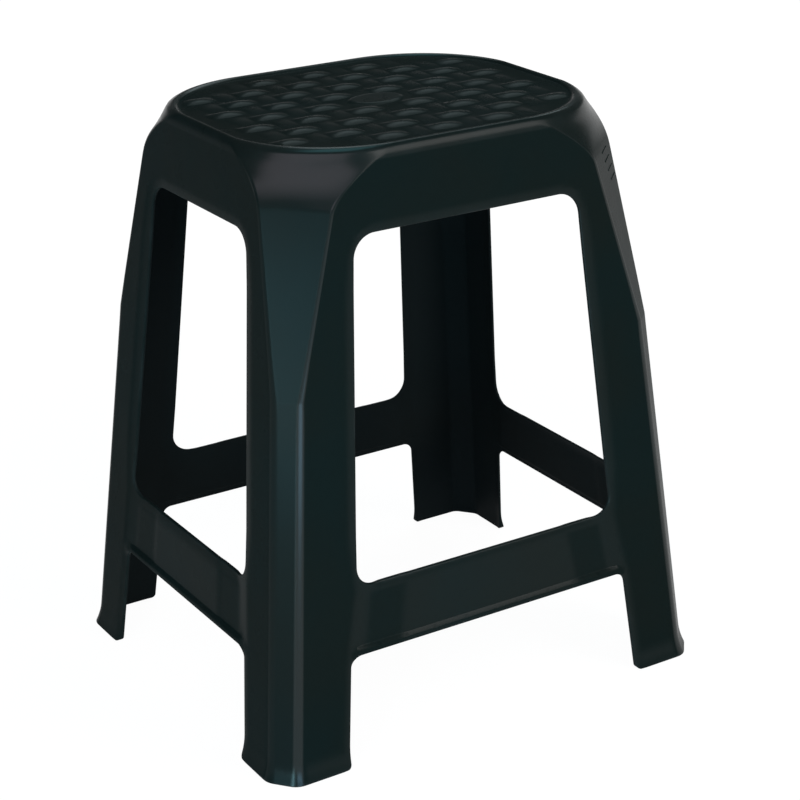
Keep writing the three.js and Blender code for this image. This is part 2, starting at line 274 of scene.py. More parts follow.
@dataclass(frozen=True)
class Plan:
    """The stool's plan at each height: four leaning walls and four cut, rounded corners.

    Pairs hold the value along X and the value along Y, apart from spread: the heights between
    which the corner's points, close together on its edges below, spread out evenly.
    """

    height: float = 452.0
    floor_half: Pair = (191.6, 164.9)
    seat_half: Pair = (147.7, 121.1)
    wall: float = 2.5
    floor_cut: Pair = (14.0, 17.0)
    knee_cut: Pair = (15.0, 13.2)
    knee_height: float = 284.0
    shoulder_height: float = 40.0
    panel_cut: Pair = (39.1, 33.8)
    seat_cut: Pair = (92.0, 80.0)
    shoulder_power: Pair = (1.7, 2.3)
    edge_heights: tuple[float, ...] = (0.0, 272.0, 310.0, 412.0, 452.0)
    long_edge_radii: tuple[float, ...] = (10.0, 9.5, 6.0, 4.5, 10.0)
    short_edge_radii: tuple[float, ...] = (11.0, 10.0, 6.5, 4.5, 10.0)
    edge_steps: int = 6
    face_steps: int = 18
    spread: Pair = (425.0, 447.0)

    @property
    def shoulder_base(self) -> float:
        """Height at which the shoulder starts to swell."""
        return self.height - self.shoulder_height

    def half(self, axis: int, z: float | np.ndarray) -> float | np.ndarray:
        """Returns the half size along X (0) or Y (1) at a height."""
        return lerp(self.floor_half[axis], self.seat_half[axis], z / self.height)

    def cut(self, axis: int, z: float) -> float:
        """Works out how much of a wall the corner takes.

        Args:
            axis: 0 along X and 1 along Y.
            z: the height.

        Returns:
            The length taken.
        """
        if z < self.knee_height:
            return lerp(self.floor_cut[axis], self.knee_cut[axis], z / self.knee_height)
        climb = (z - self.knee_height) / (self.shoulder_base - self.knee_height)
        straight = lerp(self.knee_cut[axis], self.panel_cut[axis], climb)
        swell = max(0.0, (z - self.shoulder_base) / self.shoulder_height)
        top = (self.height - self.knee_height) / (self.shoulder_base - self.knee_height)
        left = self.seat_cut[axis] - lerp(self.knee_cut[axis], self.panel_cut[axis], top)
        return straight + left * swell ** self.shoulder_power[axis]

    @lru_cache(maxsize=None)
    def corner(self, z: float) -> Corner:
        """Works out the corner's outline.

        Args:
            z: the height.

        Returns:
            The outline at that height.
        """
        turn = math.atan2(self.cut(1, z), self.cut(0, z))
        swell = max(0.0, (z - self.shoulder_base) / self.shoulder_height)
        bow = min(turn, math.pi / 4 * swell ** self.shoulder_power[0])
        first = float(np.interp(z, self.edge_heights, self.long_edge_radii))
        last = float(np.interp(z, self.edge_heights, self.short_edge_radii))
        width = self.half(0, z)
        start = width - self.cut(0, z) - first * math.tan((turn - bow) / 2)
        taken = first * math.sin(turn - bow) + last * (1.0 - math.sin(turn + bow))
        chord = (width - start - taken) / math.cos(turn)
        return Corner((start, self.half(1, z)), (first, last), turn - bow, turn + bow, chord)

    def tangent(self, axis: int, z: float) -> float:
        """Returns how far along a wall its flat face reaches before the corner bends it."""
        corner = self.corner(float(z))
        return corner.start[0] if axis == 0 else corner.at(sum(corner.lengths), 0.0)[1]

    @property
    def corner_columns(self) -> int:
        """Number of steps from one wall to the next round a corner."""
        return 2 * self.edge_steps + self.face_steps

    def corner_point(self, column: int, z: float, inset: float) -> Pair:
        """Finds a point on a corner, counted from the long wall to the short one.

        Args:
            column: the step round the corner, from 0 to corner_columns.
            z: the height.
            inset: how far the point lies inside the outline.

        Returns:
            The point's X and Y.
        """
        corner = self.corner(float(z))
        first, face, last = corner.lengths
        stops = (0, self.edge_steps, self.edge_steps + self.face_steps, self.corner_columns)
        tight = float(np.interp(column, stops, (0.0, first, first + face, first + face + last)))
        even = (first + face + last) * column / self.corner_columns
        return corner.at(lerp(tight, even, float(ease(z, *self.spread))), inset)


@dataclass(frozen=True)
class EdgeForm:
    """Rounding of the plastic's free edges, and how far the paleness reaches: wear with a painted
    highlight along the edges, wear alone at the foot.
    """

    outer_radius: float = 1.0
    inner_radius: float = 0.6
    rows: tuple[float, ...] = (0.0, 0.06, 0.2, 0.45, 0.75, 1.05, 2.4)
    rub_reach: Pair = (0.3, 3.0)
    foot_rub_reach: Pair = (0.3, 4.0)

    @staticmethod
    def fall(gap: np.ndarray, radius: float) -> np.ndarray:
        """Returns how far a rounded edge falls away at each distance from the rim."""
        rest = np.clip(radius - gap, 0.0, radius)
        return radius - np.sqrt(radius**2 - rest**2)


@dataclass(frozen=True)
class Foot:
    """Flared bottom edge of a leg."""

    height: float = 18.0
    flare: float = 3.5
    corner_radius: float = 4.0
    bright_height: float = 7.2

    def polish(self, z: float | np.ndarray) -> np.ndarray:
        """Returns how much of the full polish the flare has at a height."""
        return 1.0 - ease(z, self.bright_height, self.height)

    def swell(self, z: float | np.ndarray) -> float | np.ndarray:
        """Returns how far the outside stands out at a height."""
        return self.flare * (1.0 - share_between(z, 0.0, self.height)) ** 2


@dataclass
class WallFace:
    """One wall, seen square on: its window, its lower opening and its relief.

    A strip beside the window and the opening bends in at strip_slope. The stretcher lies deeper,
    with a pocket at each end, a turned upper edge and a bead along its lower edge. The polish is
    the weight of the skin's gloss, and relief_polish gives its most on the long and short walls.
    """

    side: Side
    plan: Plan
    foot: Foot
    edges: EdgeForm
    leg_widths: tuple[float, float, float, float]
    apron_height: float = 59.4
    stretcher_top: float = 135.8
    stretcher_height: float = 51.0
    window_top_radius: float = 18.0
    window_foot_radius: float = 15.0
    opening_radius: float = 9.0
    strip_slope: float = 0.17
    strip_bend: float = 0.6
    jamb_strip: float = 11.0
    apron_strip: float = 8.0
    knuckle_strip: float = 5.5
    strip_trim: float = 2.0
    strip_taper: float = 40.0
    round_from: float = 90.0
    round_to: float = 50.0
    face_set_back: float = 2.2
    pocket_set_back: float = 2.7
    pocket_length: float = 34.0
    pocket_edge: float = 5.0
    turned_height: float = 6.0
    turned_depth: float = 1.8
    turned_bend: float = 0.8
    relief_bend: float = 0.25
    bead_height: float = 6.0
    bead_slope: float = 1.6
    bead_blend: float = 7.0
    ledge_end: float = 6.0
    ledge_clear: float = 1.2
    relief_polish: Pair = (0.14, 0.05)
    strip_polish_depths: Pair = (0.1, 1.2)
    polish_blend: float = 1.0
    bead_polish: float = 0.45
    pocket_dullness: float = 0.8
    inner_top: float = 436.0
    inner_squeeze: float = 4.0 / 6.0
    path_step: float = 4.0
    arc_steps: int = 14
    grid_step: float = 3.0
    seam_step: float = 3.5
    grid_clear: float = 1.6
    window: Path = field(init=False)
    opening: Path = field(init=False)

    @property
    def apron_bottom(self) -> float:
        """Height of the window's upper edge."""
        return self.plan.height - self.apron_height

    @property
    def stretcher_bottom(self) -> float:
        """Height of the stretcher's lower edge."""
        return self.stretcher_top - self.stretcher_height

    @property
    def leg_top(self) -> float:
        """Height at which the leg ends: the middle of the window's upper fillet."""
        return self.apron_bottom - self.window_top_radius * (1.0 - math.sqrt(0.5))

    @property
    def jamb_heights(self) -> tuple[float, float, float, float]:
        """Heights at which the leg's widths are given, from the floor up."""
        return (0.0, self.stretcher_bottom, self.stretcher_top, self.apron_bottom)

    def jamb(self, z: float | np.ndarray) -> float | np.ndarray:
        """Finds the leg's inner edge.

        Args:
            z: the height, or many.

        Returns:
            How far from the middle of the wall the edge lies.
        """
        heights = self.jamb_heights
        places = [self.plan.half(self.side.value, h) - w for h, w in zip(heights, self.leg_widths)]
        return np.interp(z, heights, places)

    def __post_init__(self) -> None:
        """Draws the window's and the lower opening's edges."""
        low, mid, high = self.stretcher_bottom, self.stretcher_top, self.apron_bottom
        self.window = rounded_path(
            [(0.0, mid, 0.0), (float(self.jamb(mid)), mid, self.window_foot_radius),
             (float(self.jamb(high)), high, self.window_top_radius), (0.0, high, 0.0)],
            -1, self.path_step, self.arc_steps)
        toe = self.foot.height
        self.opening = rounded_path(
            [(0.0, low, 0.0), (float(self.jamb(low)), low, self.opening_radius),
             (float(self.jamb(toe)), toe, 0.0),
             (float(self.jamb(0.0)), 0.0, self.foot.corner_radius),
             (self.plan.tangent(self.side.value, 0.0), 0.0, 0.0)],
            1, self.path_step, self.arc_steps)

    def strip_depth(self, points: np.ndarray) -> np.ndarray:
        """Works out how deep the strip beside the window and the opening bends in.

        Args:
            points: [along, up] of each point.

        Returns:
            The depth at each point.
        """
        along, up = points.T
        heights = (0.0, self.stretcher_bottom, self.stretcher_top,
                   self.stretcher_top + self.strip_taper)
        widths = (self.jamb_strip - self.strip_trim, self.knuckle_strip + self.strip_trim,
                  self.knuckle_strip, self.jamb_strip)
        crease = self.jamb(up) + np.interp(up, heights, widths)
        straight = soft_ramp(crease - along, self.strip_bend)
        gap = path_distance(points, np.array(self.window.points))
        width = lerp(self.jamb_strip, self.apron_strip,
                     ease(up, self.leg_top - self.strip_taper, self.leg_top))
        round_window = soft_ramp(width - gap, self.strip_bend)
        share = ease(up, self.leg_top - self.round_from, self.leg_top - self.round_to)
        return self.strip_slope * lerp(straight, round_window, share)

    @property
    def ramp(self) -> float:
        """Length of the slope from the leg's inner edge down to the pocket."""
        return self.pocket_set_back / self.strip_slope - self.knuckle_strip

    def pocket(self, points: np.ndarray) -> np.ndarray:
        """Tells how far each point has come into the stretcher's pocket.

        Args:
            points: [along, up] of each point.

        Returns:
            0 before the pocket and 1 in it and past it.
        """
        along, up = points.T
        start = self.jamb(up) - self.ramp - self.pocket_length
        return ease(along, start - self.pocket_edge / 2, start + self.pocket_edge)

    def stretcher_depth(self, points: np.ndarray) -> np.ndarray:
        """Works out how deep the stretcher's own face lies.

        Args:
            points: [along, up] of each point.

        Returns:
            The depth at each point.
        """
        along, up = points.T
        face = lerp(self.face_set_back, self.pocket_set_back, self.pocket(points))
        gap = path_distance(points, np.array(self.window.points))
        turned = (soft_ramp(self.turned_height - gap, self.turned_bend)
                  * self.turned_depth / self.turned_height)
        step = ease(up, self.stretcher_bottom + self.bead_height - self.bead_slope,
                    self.stretcher_bottom + self.bead_height)
        reach = np.maximum(self.jamb(up) + self.knuckle_strip - along, 0.0)
        under = 1.0 - ease(up, self.stretcher_bottom - self.bead_blend, self.stretcher_bottom)
        bead = np.minimum(self.strip_slope * reach, face) * under
        return lerp(bead, face + turned, step)

    def polish(self, points: np.ndarray) -> np.ndarray:
        """Works out the skin's polish.

        It is full on strips, stretcher and foot, less on the bead and in the pockets, and none on
        the plain faces.

        Args:
            points: [along, up] of each point.

        Returns:
            The polish at each point.
        """
        along, up = points.T
        strip = ease(self.strip_depth(points), *self.strip_polish_depths)
        gap = path_distance(points, np.array(self.window.points))
        turned = 1.0 - ease(gap, self.turned_height - self.polish_blend,
                            self.turned_height + self.polish_blend)
        pocket = self.pocket(points)
        pocket_end = self.jamb(up) - self.ramp
        dull = pocket * (1.0 - ease(along, pocket_end - self.pocket_edge, pocket_end))
        bead = self.bead_polish * (1.0 - pocket)
        on_bead = up < self.stretcher_bottom + self.bead_height - self.ledge_clear / 2
        low = (up > self.stretcher_bottom - self.polish_blend) & (along < self.jamb(up))
        strip = np.where(low, strip * (1.0 - self.pocket_dullness * dull), strip)
        strip = np.where(low & on_bead, np.minimum(strip, bead), strip)
        edge = np.where(low, turned, self.foot.polish(up))
        return self.relief_polish[self.side.value] * np.maximum(strip, edge)

    def base_depth(self, points: np.ndarray) -> np.ndarray:
        """Returns how deep the outside lies behind the wall's plane, free edges left out."""
        return soft_min(self.strip_depth(points), self.stretcher_depth(points), self.relief_bend)

    def inner_height(self, z: float | np.ndarray) -> np.ndarray:
        """Returns the height inside the wall that goes with a height outside."""
        return np.where(z > self.inner_top,
                        self.inner_top + (z - self.inner_top) * self.inner_squeeze, z)

    def depths(self, points: np.ndarray) -> tuple[np.ndarray, np.ndarray]:
        """Works out the relief at points of the wall.

        Args:
            points: [along, up] of each point.

        Returns:
            How deep the outside and the inside lie behind the wall's plane.
        """
        base = self.base_depth(points)
        gap = np.minimum(path_distance(points, np.array(self.window.points)),
                         path_distance(points, np.array(self.opening.points)))
        outer = base + self.edges.fall(gap, self.edges.outer_radius) - self.foot.swell(points[:, 1])
        inner = np.maximum(base, 0.0) + self.plan.wall
        return outer, inner - self.edges.fall(gap, self.edges.inner_radius)

    def place(self, points: np.ndarray) -> tuple[np.ndarray, np.ndarray]:
        """Puts points of the wall into space.

        Args:
            points: [along, up] of each point.

        Returns:
            The places on the outside and on the inside of the plastic.
        """
        outer_depth, inner_depth = self.depths(points)
        along, up = points.T
        across = 1 - self.side.value
        skins = []
        for z, depth in ((up, outer_depth), (self.inner_height(up), inner_depth)):
            face = self.plan.half(across, z) - depth
            pair = (along, face) if self.side is Side.LONG else (face, along)
            skins.append(np.column_stack([*pair, z]))
        return skins[0], skins[1]


@dataclass(frozen=True)
class Rim:
    """Rounded rim round the seat, from the top of the walls to the seat panel.

    Crown and slope give the inset and the height against the crown of each row past the arc.
    """

    depth: float = 4.2
    rise: float = 9.5
    arc_rows: int = 10
    inner_radius: float = 3.0
    crown: tuple[Pair, ...] = ((5.1, 0.0), (5.8, -0.08), (6.5, -0.36), (7.2, -0.85))
    slope: tuple[Pair, ...] = ((7.9, -1.35), (8.6, -1.74), (9.4, -1.94), (10.4, -2.0))
    seat_wall: float = 3.0
    drop: float = 2.0

    def rows(self, height: float, wall: float,
             inner_base: float) -> list[tuple[float, Pair, Pair]]:
        """Lists the rim's rows above the walls.

        Args:
            height: the height of the rim's crown.
            wall: the thickness of the wall.
            inner_base: the height inside the wall that goes with the rim's foot.

        Returns:
            For each row the height at which the plan is read, then inset and height outside,
            and inset and height inside.
        """
        base = height - self.rise
        under = height - self.drop - self.seat_wall
        rows = []
        for k in range(1, self.arc_rows + 1):
            angle = math.pi / 2 * k / self.arc_rows
            fall, climb = 1.0 - math.cos(angle), math.sin(angle)
            outer = (self.depth * fall, base + self.rise * climb)
            inner = (wall + self.inner_radius * fall, lerp(inner_base, under, climb))
            rows.append((outer[1], outer, inner))
        for inset, dip in self.crown + self.slope:
            rows.append((height, (inset, height + dip), (inset, under)))
        return rows


@dataclass(frozen=True)
class Weave:
    """Basket-weave relief on the seat panel, with a plain oval in its middle."""

    pitch: Pair = (22.75, 23.5)
    steps_per_pitch: int = 14
    crest_length: float = 29.0
    crest_width: float = 16.0
    crest_rise: float = 1.9
    cross_rise: float = 0.6
    end_power: float = 0.9
    side_power: float = 2.2
    margin: float = 19.0
    oval_half: Pair = (23.0, 15.5)
    oval_rise: float = 1.3
    oval_shoulder: float = 2.2
    counts: tuple[int, int] = (6, 5)

    def sites(self, field_outline: np.ndarray) -> list[tuple[float, float, bool]]:
        """Lists the places where a strand lies on top.

        Args:
            field_outline: the plan outline that the places stay inside.

        Returns:
            X, Y and whether the strand runs along X, for each place.
        """
        found = []
        for m in range(-self.counts[0], self.counts[0] + 1):
            for n in range(-self.counts[1], self.counts[1] + 1):
                x, y = m * self.pitch[0], n * self.pitch[1]
                clear = math.hypot(x / (self.oval_half[0] + self.crest_length / 2),
                                   y / (self.oval_half[1] + self.crest_width / 2))
                if clear > 1.0 and inside_outline(np.array([[x, y]]), field_outline)[0]:
                    found.append((x, y, (m + n) % 2 == 0))
        return found

    def height(self, points: np.ndarray, field_outline: np.ndarray) -> np.ndarray:
        """Works out how high the relief stands.

        Args:
            points: X and Y of points of the seat panel.
            field_outline: the plan outline that the crests stay inside.

        Returns:
            The height at each point.
        """
        rise = np.zeros(len(points))
        for x, y, runs_along_x in self.sites(field_outline):
            along, across = np.abs(points - (x, y)).T
            if not runs_along_x:
                along, across = across, along
            a = np.clip(along / (self.crest_length / 2), 0.0, 1.0)
            b = np.clip(across / (self.crest_width / 2), 0.0, 1.0)
            top = self.crest_rise if runs_along_x else self.cross_rise
            crest = top * np.cos(a * math.pi / 2) ** self.end_power * (1.0 - b**self.side_power)
            rise = np.maximum(rise, crest)
        reach = np.hypot(points[:, 0] / self.oval_half[0], points[:, 1] / self.oval_half[1])
        inside = (1.0 - reach) * min(self.oval_half)
        return np.maximum(rise, self.oval_rise * ease(inside, 0.0, self.oval_shoulder))


@dataclass
class Sheet:
    """The plastic as one sheet: each point has a place on the outside and one on the inside."""

    outer: list[Triple] = field(default_factory=list)
    inner: list[Triple] = field(default_factory=list)
    wear_and_sheen: list[float] = field(default_factory=list)
    polish: list[float] = field(default_factory=list)
    faces: list[tuple[int, ...]] = field(default_factory=list)
    members: list[str] = field(default_factory=list)

    def add(self, outer: Triple, inner: Triple, wear_and_sheen: float = 0.0, polish: float = 0.0) -> int:
        """Adds a point.

        Args:
            outer: its place on the outside.
            inner: its place on the inside.
            wear_and_sheen: how pale the skin is there, from wear and from a painted highlight.
            polish: how bright it is polished.

        Returns:
            The point's number.
        """
        self.outer.append(tuple(float(c) for c in outer))
        self.inner.append(tuple(float(c) for c in inner))
        self.wear_and_sheen.append(float(wear_and_sheen))
        self.polish.append(float(polish))
        return len(self.outer) - 1

    def add_all(self, outer: np.ndarray, inner: np.ndarray, wear_and_sheen: np.ndarray,
                polish: np.ndarray) -> list[int]:
        """Adds rows of points and returns their numbers."""
        return [self.add(*point) for point in zip(outer, inner, wear_and_sheen, polish)]

    def face(self, corners: tuple[int, ...], member: str) -> None:
        """Adds a face that belongs to a member of the stool."""
        self.faces.append(corners)
        self.members.append(member)

    def strip(self, first: list[int], second: list[int], member_of: Callable[[int], str]) -> None:
        """Joins two rows of points, and asks for the member of each step."""
        for k in range(len(first) - 1):
            self.face((first[k], first[k + 1], second[k + 1], second[k]), member_of(k))


@dataclass
class WallMesher:
    """Meshes one wall's half, from its middle to the corner, into the quarter's sheet.

    Line_slack and knuckle_reach are how far past the ends of the parting lines a member reaches.
    """

    face: WallFace
    sheet: Sheet
    tangent_levels: list[float]
    tangent_points: list[int]
    top_height: float
    line_slack: float = 1.0
    knuckle_reach: float = 12.0
    placed: list[Pair] = field(default_factory=list)
    numbers: list[int] = field(default_factory=list)

    def rub_at(self, points: np.ndarray) -> np.ndarray:
        """Works out how pale the skin is, as wear and a painted highlight: most along the free
        edges.

        Args:
            points: [along, up] of each point.

        Returns:
            The rub at each point.
        """
        gap = np.minimum(path_distance(points, np.array(self.face.window.points)),
                         path_distance(points, np.array(self.face.opening.points)))
        return 1.0 - ease(gap, *self.face.edges.rub_reach)

    def put(self, points: list[Pair]) -> list[int]:
        """Places points of the wall in the sheet.

        Args:
            points: [along, up] of each point.

        Returns:
            Their numbers.
        """
        flat = np.array(points, float)
        return self.sheet.add_all(*self.face.place(flat), self.rub_at(flat),
                                  self.face.polish(flat))

    def hold(self, point: Pair, number: int) -> int:
        """Keeps a point for the infill.

        Args:
            point: [along, up] of the point.
            number: its number in the sheet.

        Returns:
            Its place in the infill's list.
        """
        self.placed.append(point)
        self.numbers.append(number)
        return len(self.placed) - 1

    def band(self, path: Path, member_of: Callable[[int], str],
             last_column: list[int] | None) -> list[int]:
        """Lays the narrow rows that round a free edge.

        Args:
            path: the edge.
            member_of: gives the member of each step along the edge.
            last_column: numbers of the points that end the rows, if they are there already.

        Returns:
            The places, in the infill's list, of the row farthest from the edge.
        """
        rows = []
        for distance in self.face.edges.rows:
            points = path.offset(distance)
            if last_column is None:
                rows.append(self.put(points))
            else:
                rows.append(self.put(points[:-1]) + [last_column[len(rows)]])
        for near, far in zip(rows, rows[1:]):
            self.sheet.strip(near, far, member_of)
        return [self.hold(p, n) for p, n in zip(path.offset(self.face.edges.rows[-1]), rows[-1])]

    def line(self, start: int, end: int, step: float) -> list[int]:
        """Lays points on a straight line between two points of the infill.

        Args:
            start: the first point's place in the infill's list.
            end: the last point's place.
            step: the longest step.

        Returns:
            The places of all the line's points, its ends among them.
        """
        a, b = np.array(self.placed[start]), np.array(self.placed[end])
        pieces = max(1, round(float(np.linalg.norm(b - a)) / step))
        inner = [tuple(lerp(a, b, k / pieces)) for k in range(1, pieces)]
        between = [self.hold(p, n) for p, n in zip(inner, self.put(inner))] if inner else []
        return [start, *between, end]

    def build(self, names: dict[str, str]) -> list[int]:
        """Meshes the half wall.

        Args:
            names: the CAD node of each member: foot, leg, shoulder, apron and stretcher.

        Returns:
            The numbers of the points along its top edge, from the middle to the corner.
        """
        face, window, opening = self.face, self.face.window, self.face.opening
        foot_mark, top_mark = window.marks
        low_mark, toe_mark, _ = opening.marks
        rows = len(face.edges.rows)

        def window_member(k: int) -> str:
            """Names the member beside a step of the window's edge."""
            below = names["stretcher"] if k < foot_mark else names["leg"]
            return names["apron"] if k >= top_mark else below

        def opening_member(k: int) -> str:
            """Names the member beside a step of the lower opening's edge."""
            above = names["stretcher"] if k < low_mark else names["leg"]
            return names["foot"] if k >= toe_mark else above

        around = self.band(window, window_member, None)
        under = self.band(opening, opening_member, self.tangent_points[:rows])
        levels = self.tangent_levels
        side = [under[-1]]
        side += [self.hold((face.plan.tangent(face.side.value, z), z), n)
                 for z, n in zip(levels[rows:], self.tangent_points[rows:])]
        middle = self.hold((0.0, self.top_height), self.put([(0.0, self.top_height)])[0])
        top = self.line(middle, side[-1], face.grid_step)
        centre_high = self.line(around[-1], middle, face.grid_step)
        ledge = face.stretcher_bottom + face.bead_height
        heights = (ledge - face.bead_slope, ledge, ledge + face.ledge_clear)
        spots = [(0.0, z) for z in heights]
        starts = [self.hold(p, n) for p, n in zip(spots, self.put(spots))]
        centre_low = [under[0]]
        for spot in (*starts, around[0]):
            centre_low += self.line(centre_low[-1], spot, face.grid_step)[1:]
        left_edge = centre_low[:-1] + around + centre_high[1:-1]
        outline = under[1:] + side[1:] + top[::-1][1:] + left_edge[::-1]

        def level_point(z: float) -> int:
            """Finds the point of the corner's edge at a height."""
            return side[levels.index(z) - rows + 1]

        toe = self.line(under[toe_mark], level_point(face.foot.height), face.seam_step)
        knuckle = self.line(under[low_mark], around[foot_mark], face.seam_step)
        knee = self.line(around[top_mark], level_point(face.leg_top), face.seam_step)
        shoulder = self.line(around[top_mark], level_point(face.plan.shoulder_base), face.seam_step)
        creases = []
        for start, z in zip(starts, heights):
            last = (float(face.jamb(z)) - face.ledge_end, z)
            end = self.hold(last, self.put([last])[0])
            creases.append(self.line(start, end, face.seam_step))
        self.fill(outline, [toe, knuckle, knee, shoulder], creases, names)
        return [self.numbers[i] for i in top]

    def fill(self, outline: list[int], seams: list[list[int]], creases: list[list[int]],
             names: dict[str, str]) -> None:
        """Fills the wall between its edges with triangles.

        Args:
            outline: the places of the outline's points.
            seams: the lines that part one member from the next: toe, knuckle, knee, shoulder.
            creases: more lines that the triangles' edges follow.
            names: the CAD node of each member.
        """
        placed = np.array(self.placed)
        edge = placed[outline + outline[:1]]
        lines = [placed[line] for line in seams]
        step = self.face.grid_step
        low, high = edge.min(0), edge.max(0)
        grid = np.array([(x, y) for y in np.arange(low[1] + step, high[1], step)
                         for x in np.arange(step, high[0], step)])
        grid = grid[inside_outline(grid, edge[:-1])]
        for line in [edge, *lines, *(placed[crease] for crease in creases)]:
            grid = grid[path_distance(grid, line) > self.face.grid_clear]
        for point, number in zip(grid, self.put([tuple(p) for p in grid])):
            self.hold(tuple(point), number)
        ties = [pair for line in seams + creases for pair in zip(line, line[1:])]
        points, _, triangles, origins, _, _ = delaunay_2d_cdt(
            [Vector(p) for p in self.placed], ties, [outline], 1, MERGE_GAP, True)
        source = [self.numbers[ids[0]] for ids in origins]
        toe, knuckle, knee, shoulder = lines
        centres = np.array(points)[np.array(triangles)].mean(1)
        for triangle, centre, kept in zip(triangles, centres, inside_outline(centres, edge[:-1])):
            if kept:
                member = self.member_at(Vector(centre), toe, knuckle, knee, shoulder)
                self.sheet.face(tuple(source[i] for i in triangle), names[member])

    def member_at(self, spot: Vector, toe: np.ndarray, knuckle: np.ndarray, knee: np.ndarray,
                  shoulder: np.ndarray) -> str:
        """Names the member that a spot of the wall belongs to.

        Args:
            spot: the spot.
            toe: the line between foot and leg.
            knuckle: the line between stretcher and leg.
            knee: the line between leg and shoulder.
            shoulder: the line between apron and shoulder.

        Returns:
            The member's key among the names.
        """

        def height_on(line: np.ndarray) -> float:
            """Returns the height of a line over the spot."""
            return lerp(line[0][1], line[-1][1],
                        (spot.x - line[0][0]) / (line[-1][0] - line[0][0]))

        def reach_of(line: np.ndarray) -> float:
            """Returns how far from the middle a line lies at the spot's height."""
            return lerp(line[0][0], line[-1][0],
                        (spot.y - line[0][1]) / (line[-1][1] - line[0][1]))

        if spot.y < height_on(toe) and spot.x > toe[0][0] - self.line_slack:
            return "foot"
        low, high = knuckle[0][1] - self.knuckle_reach, knuckle[-1][1] + self.knuckle_reach
        if low < spot.y < high and spot.x < reach_of(knuckle):
            return "stretcher"
        if spot.y > knee[0][1] - self.line_slack and spot.x < reach_of(shoulder):
            return "apron"
        return "shoulder" if spot.y > height_on(knee) else "leg"


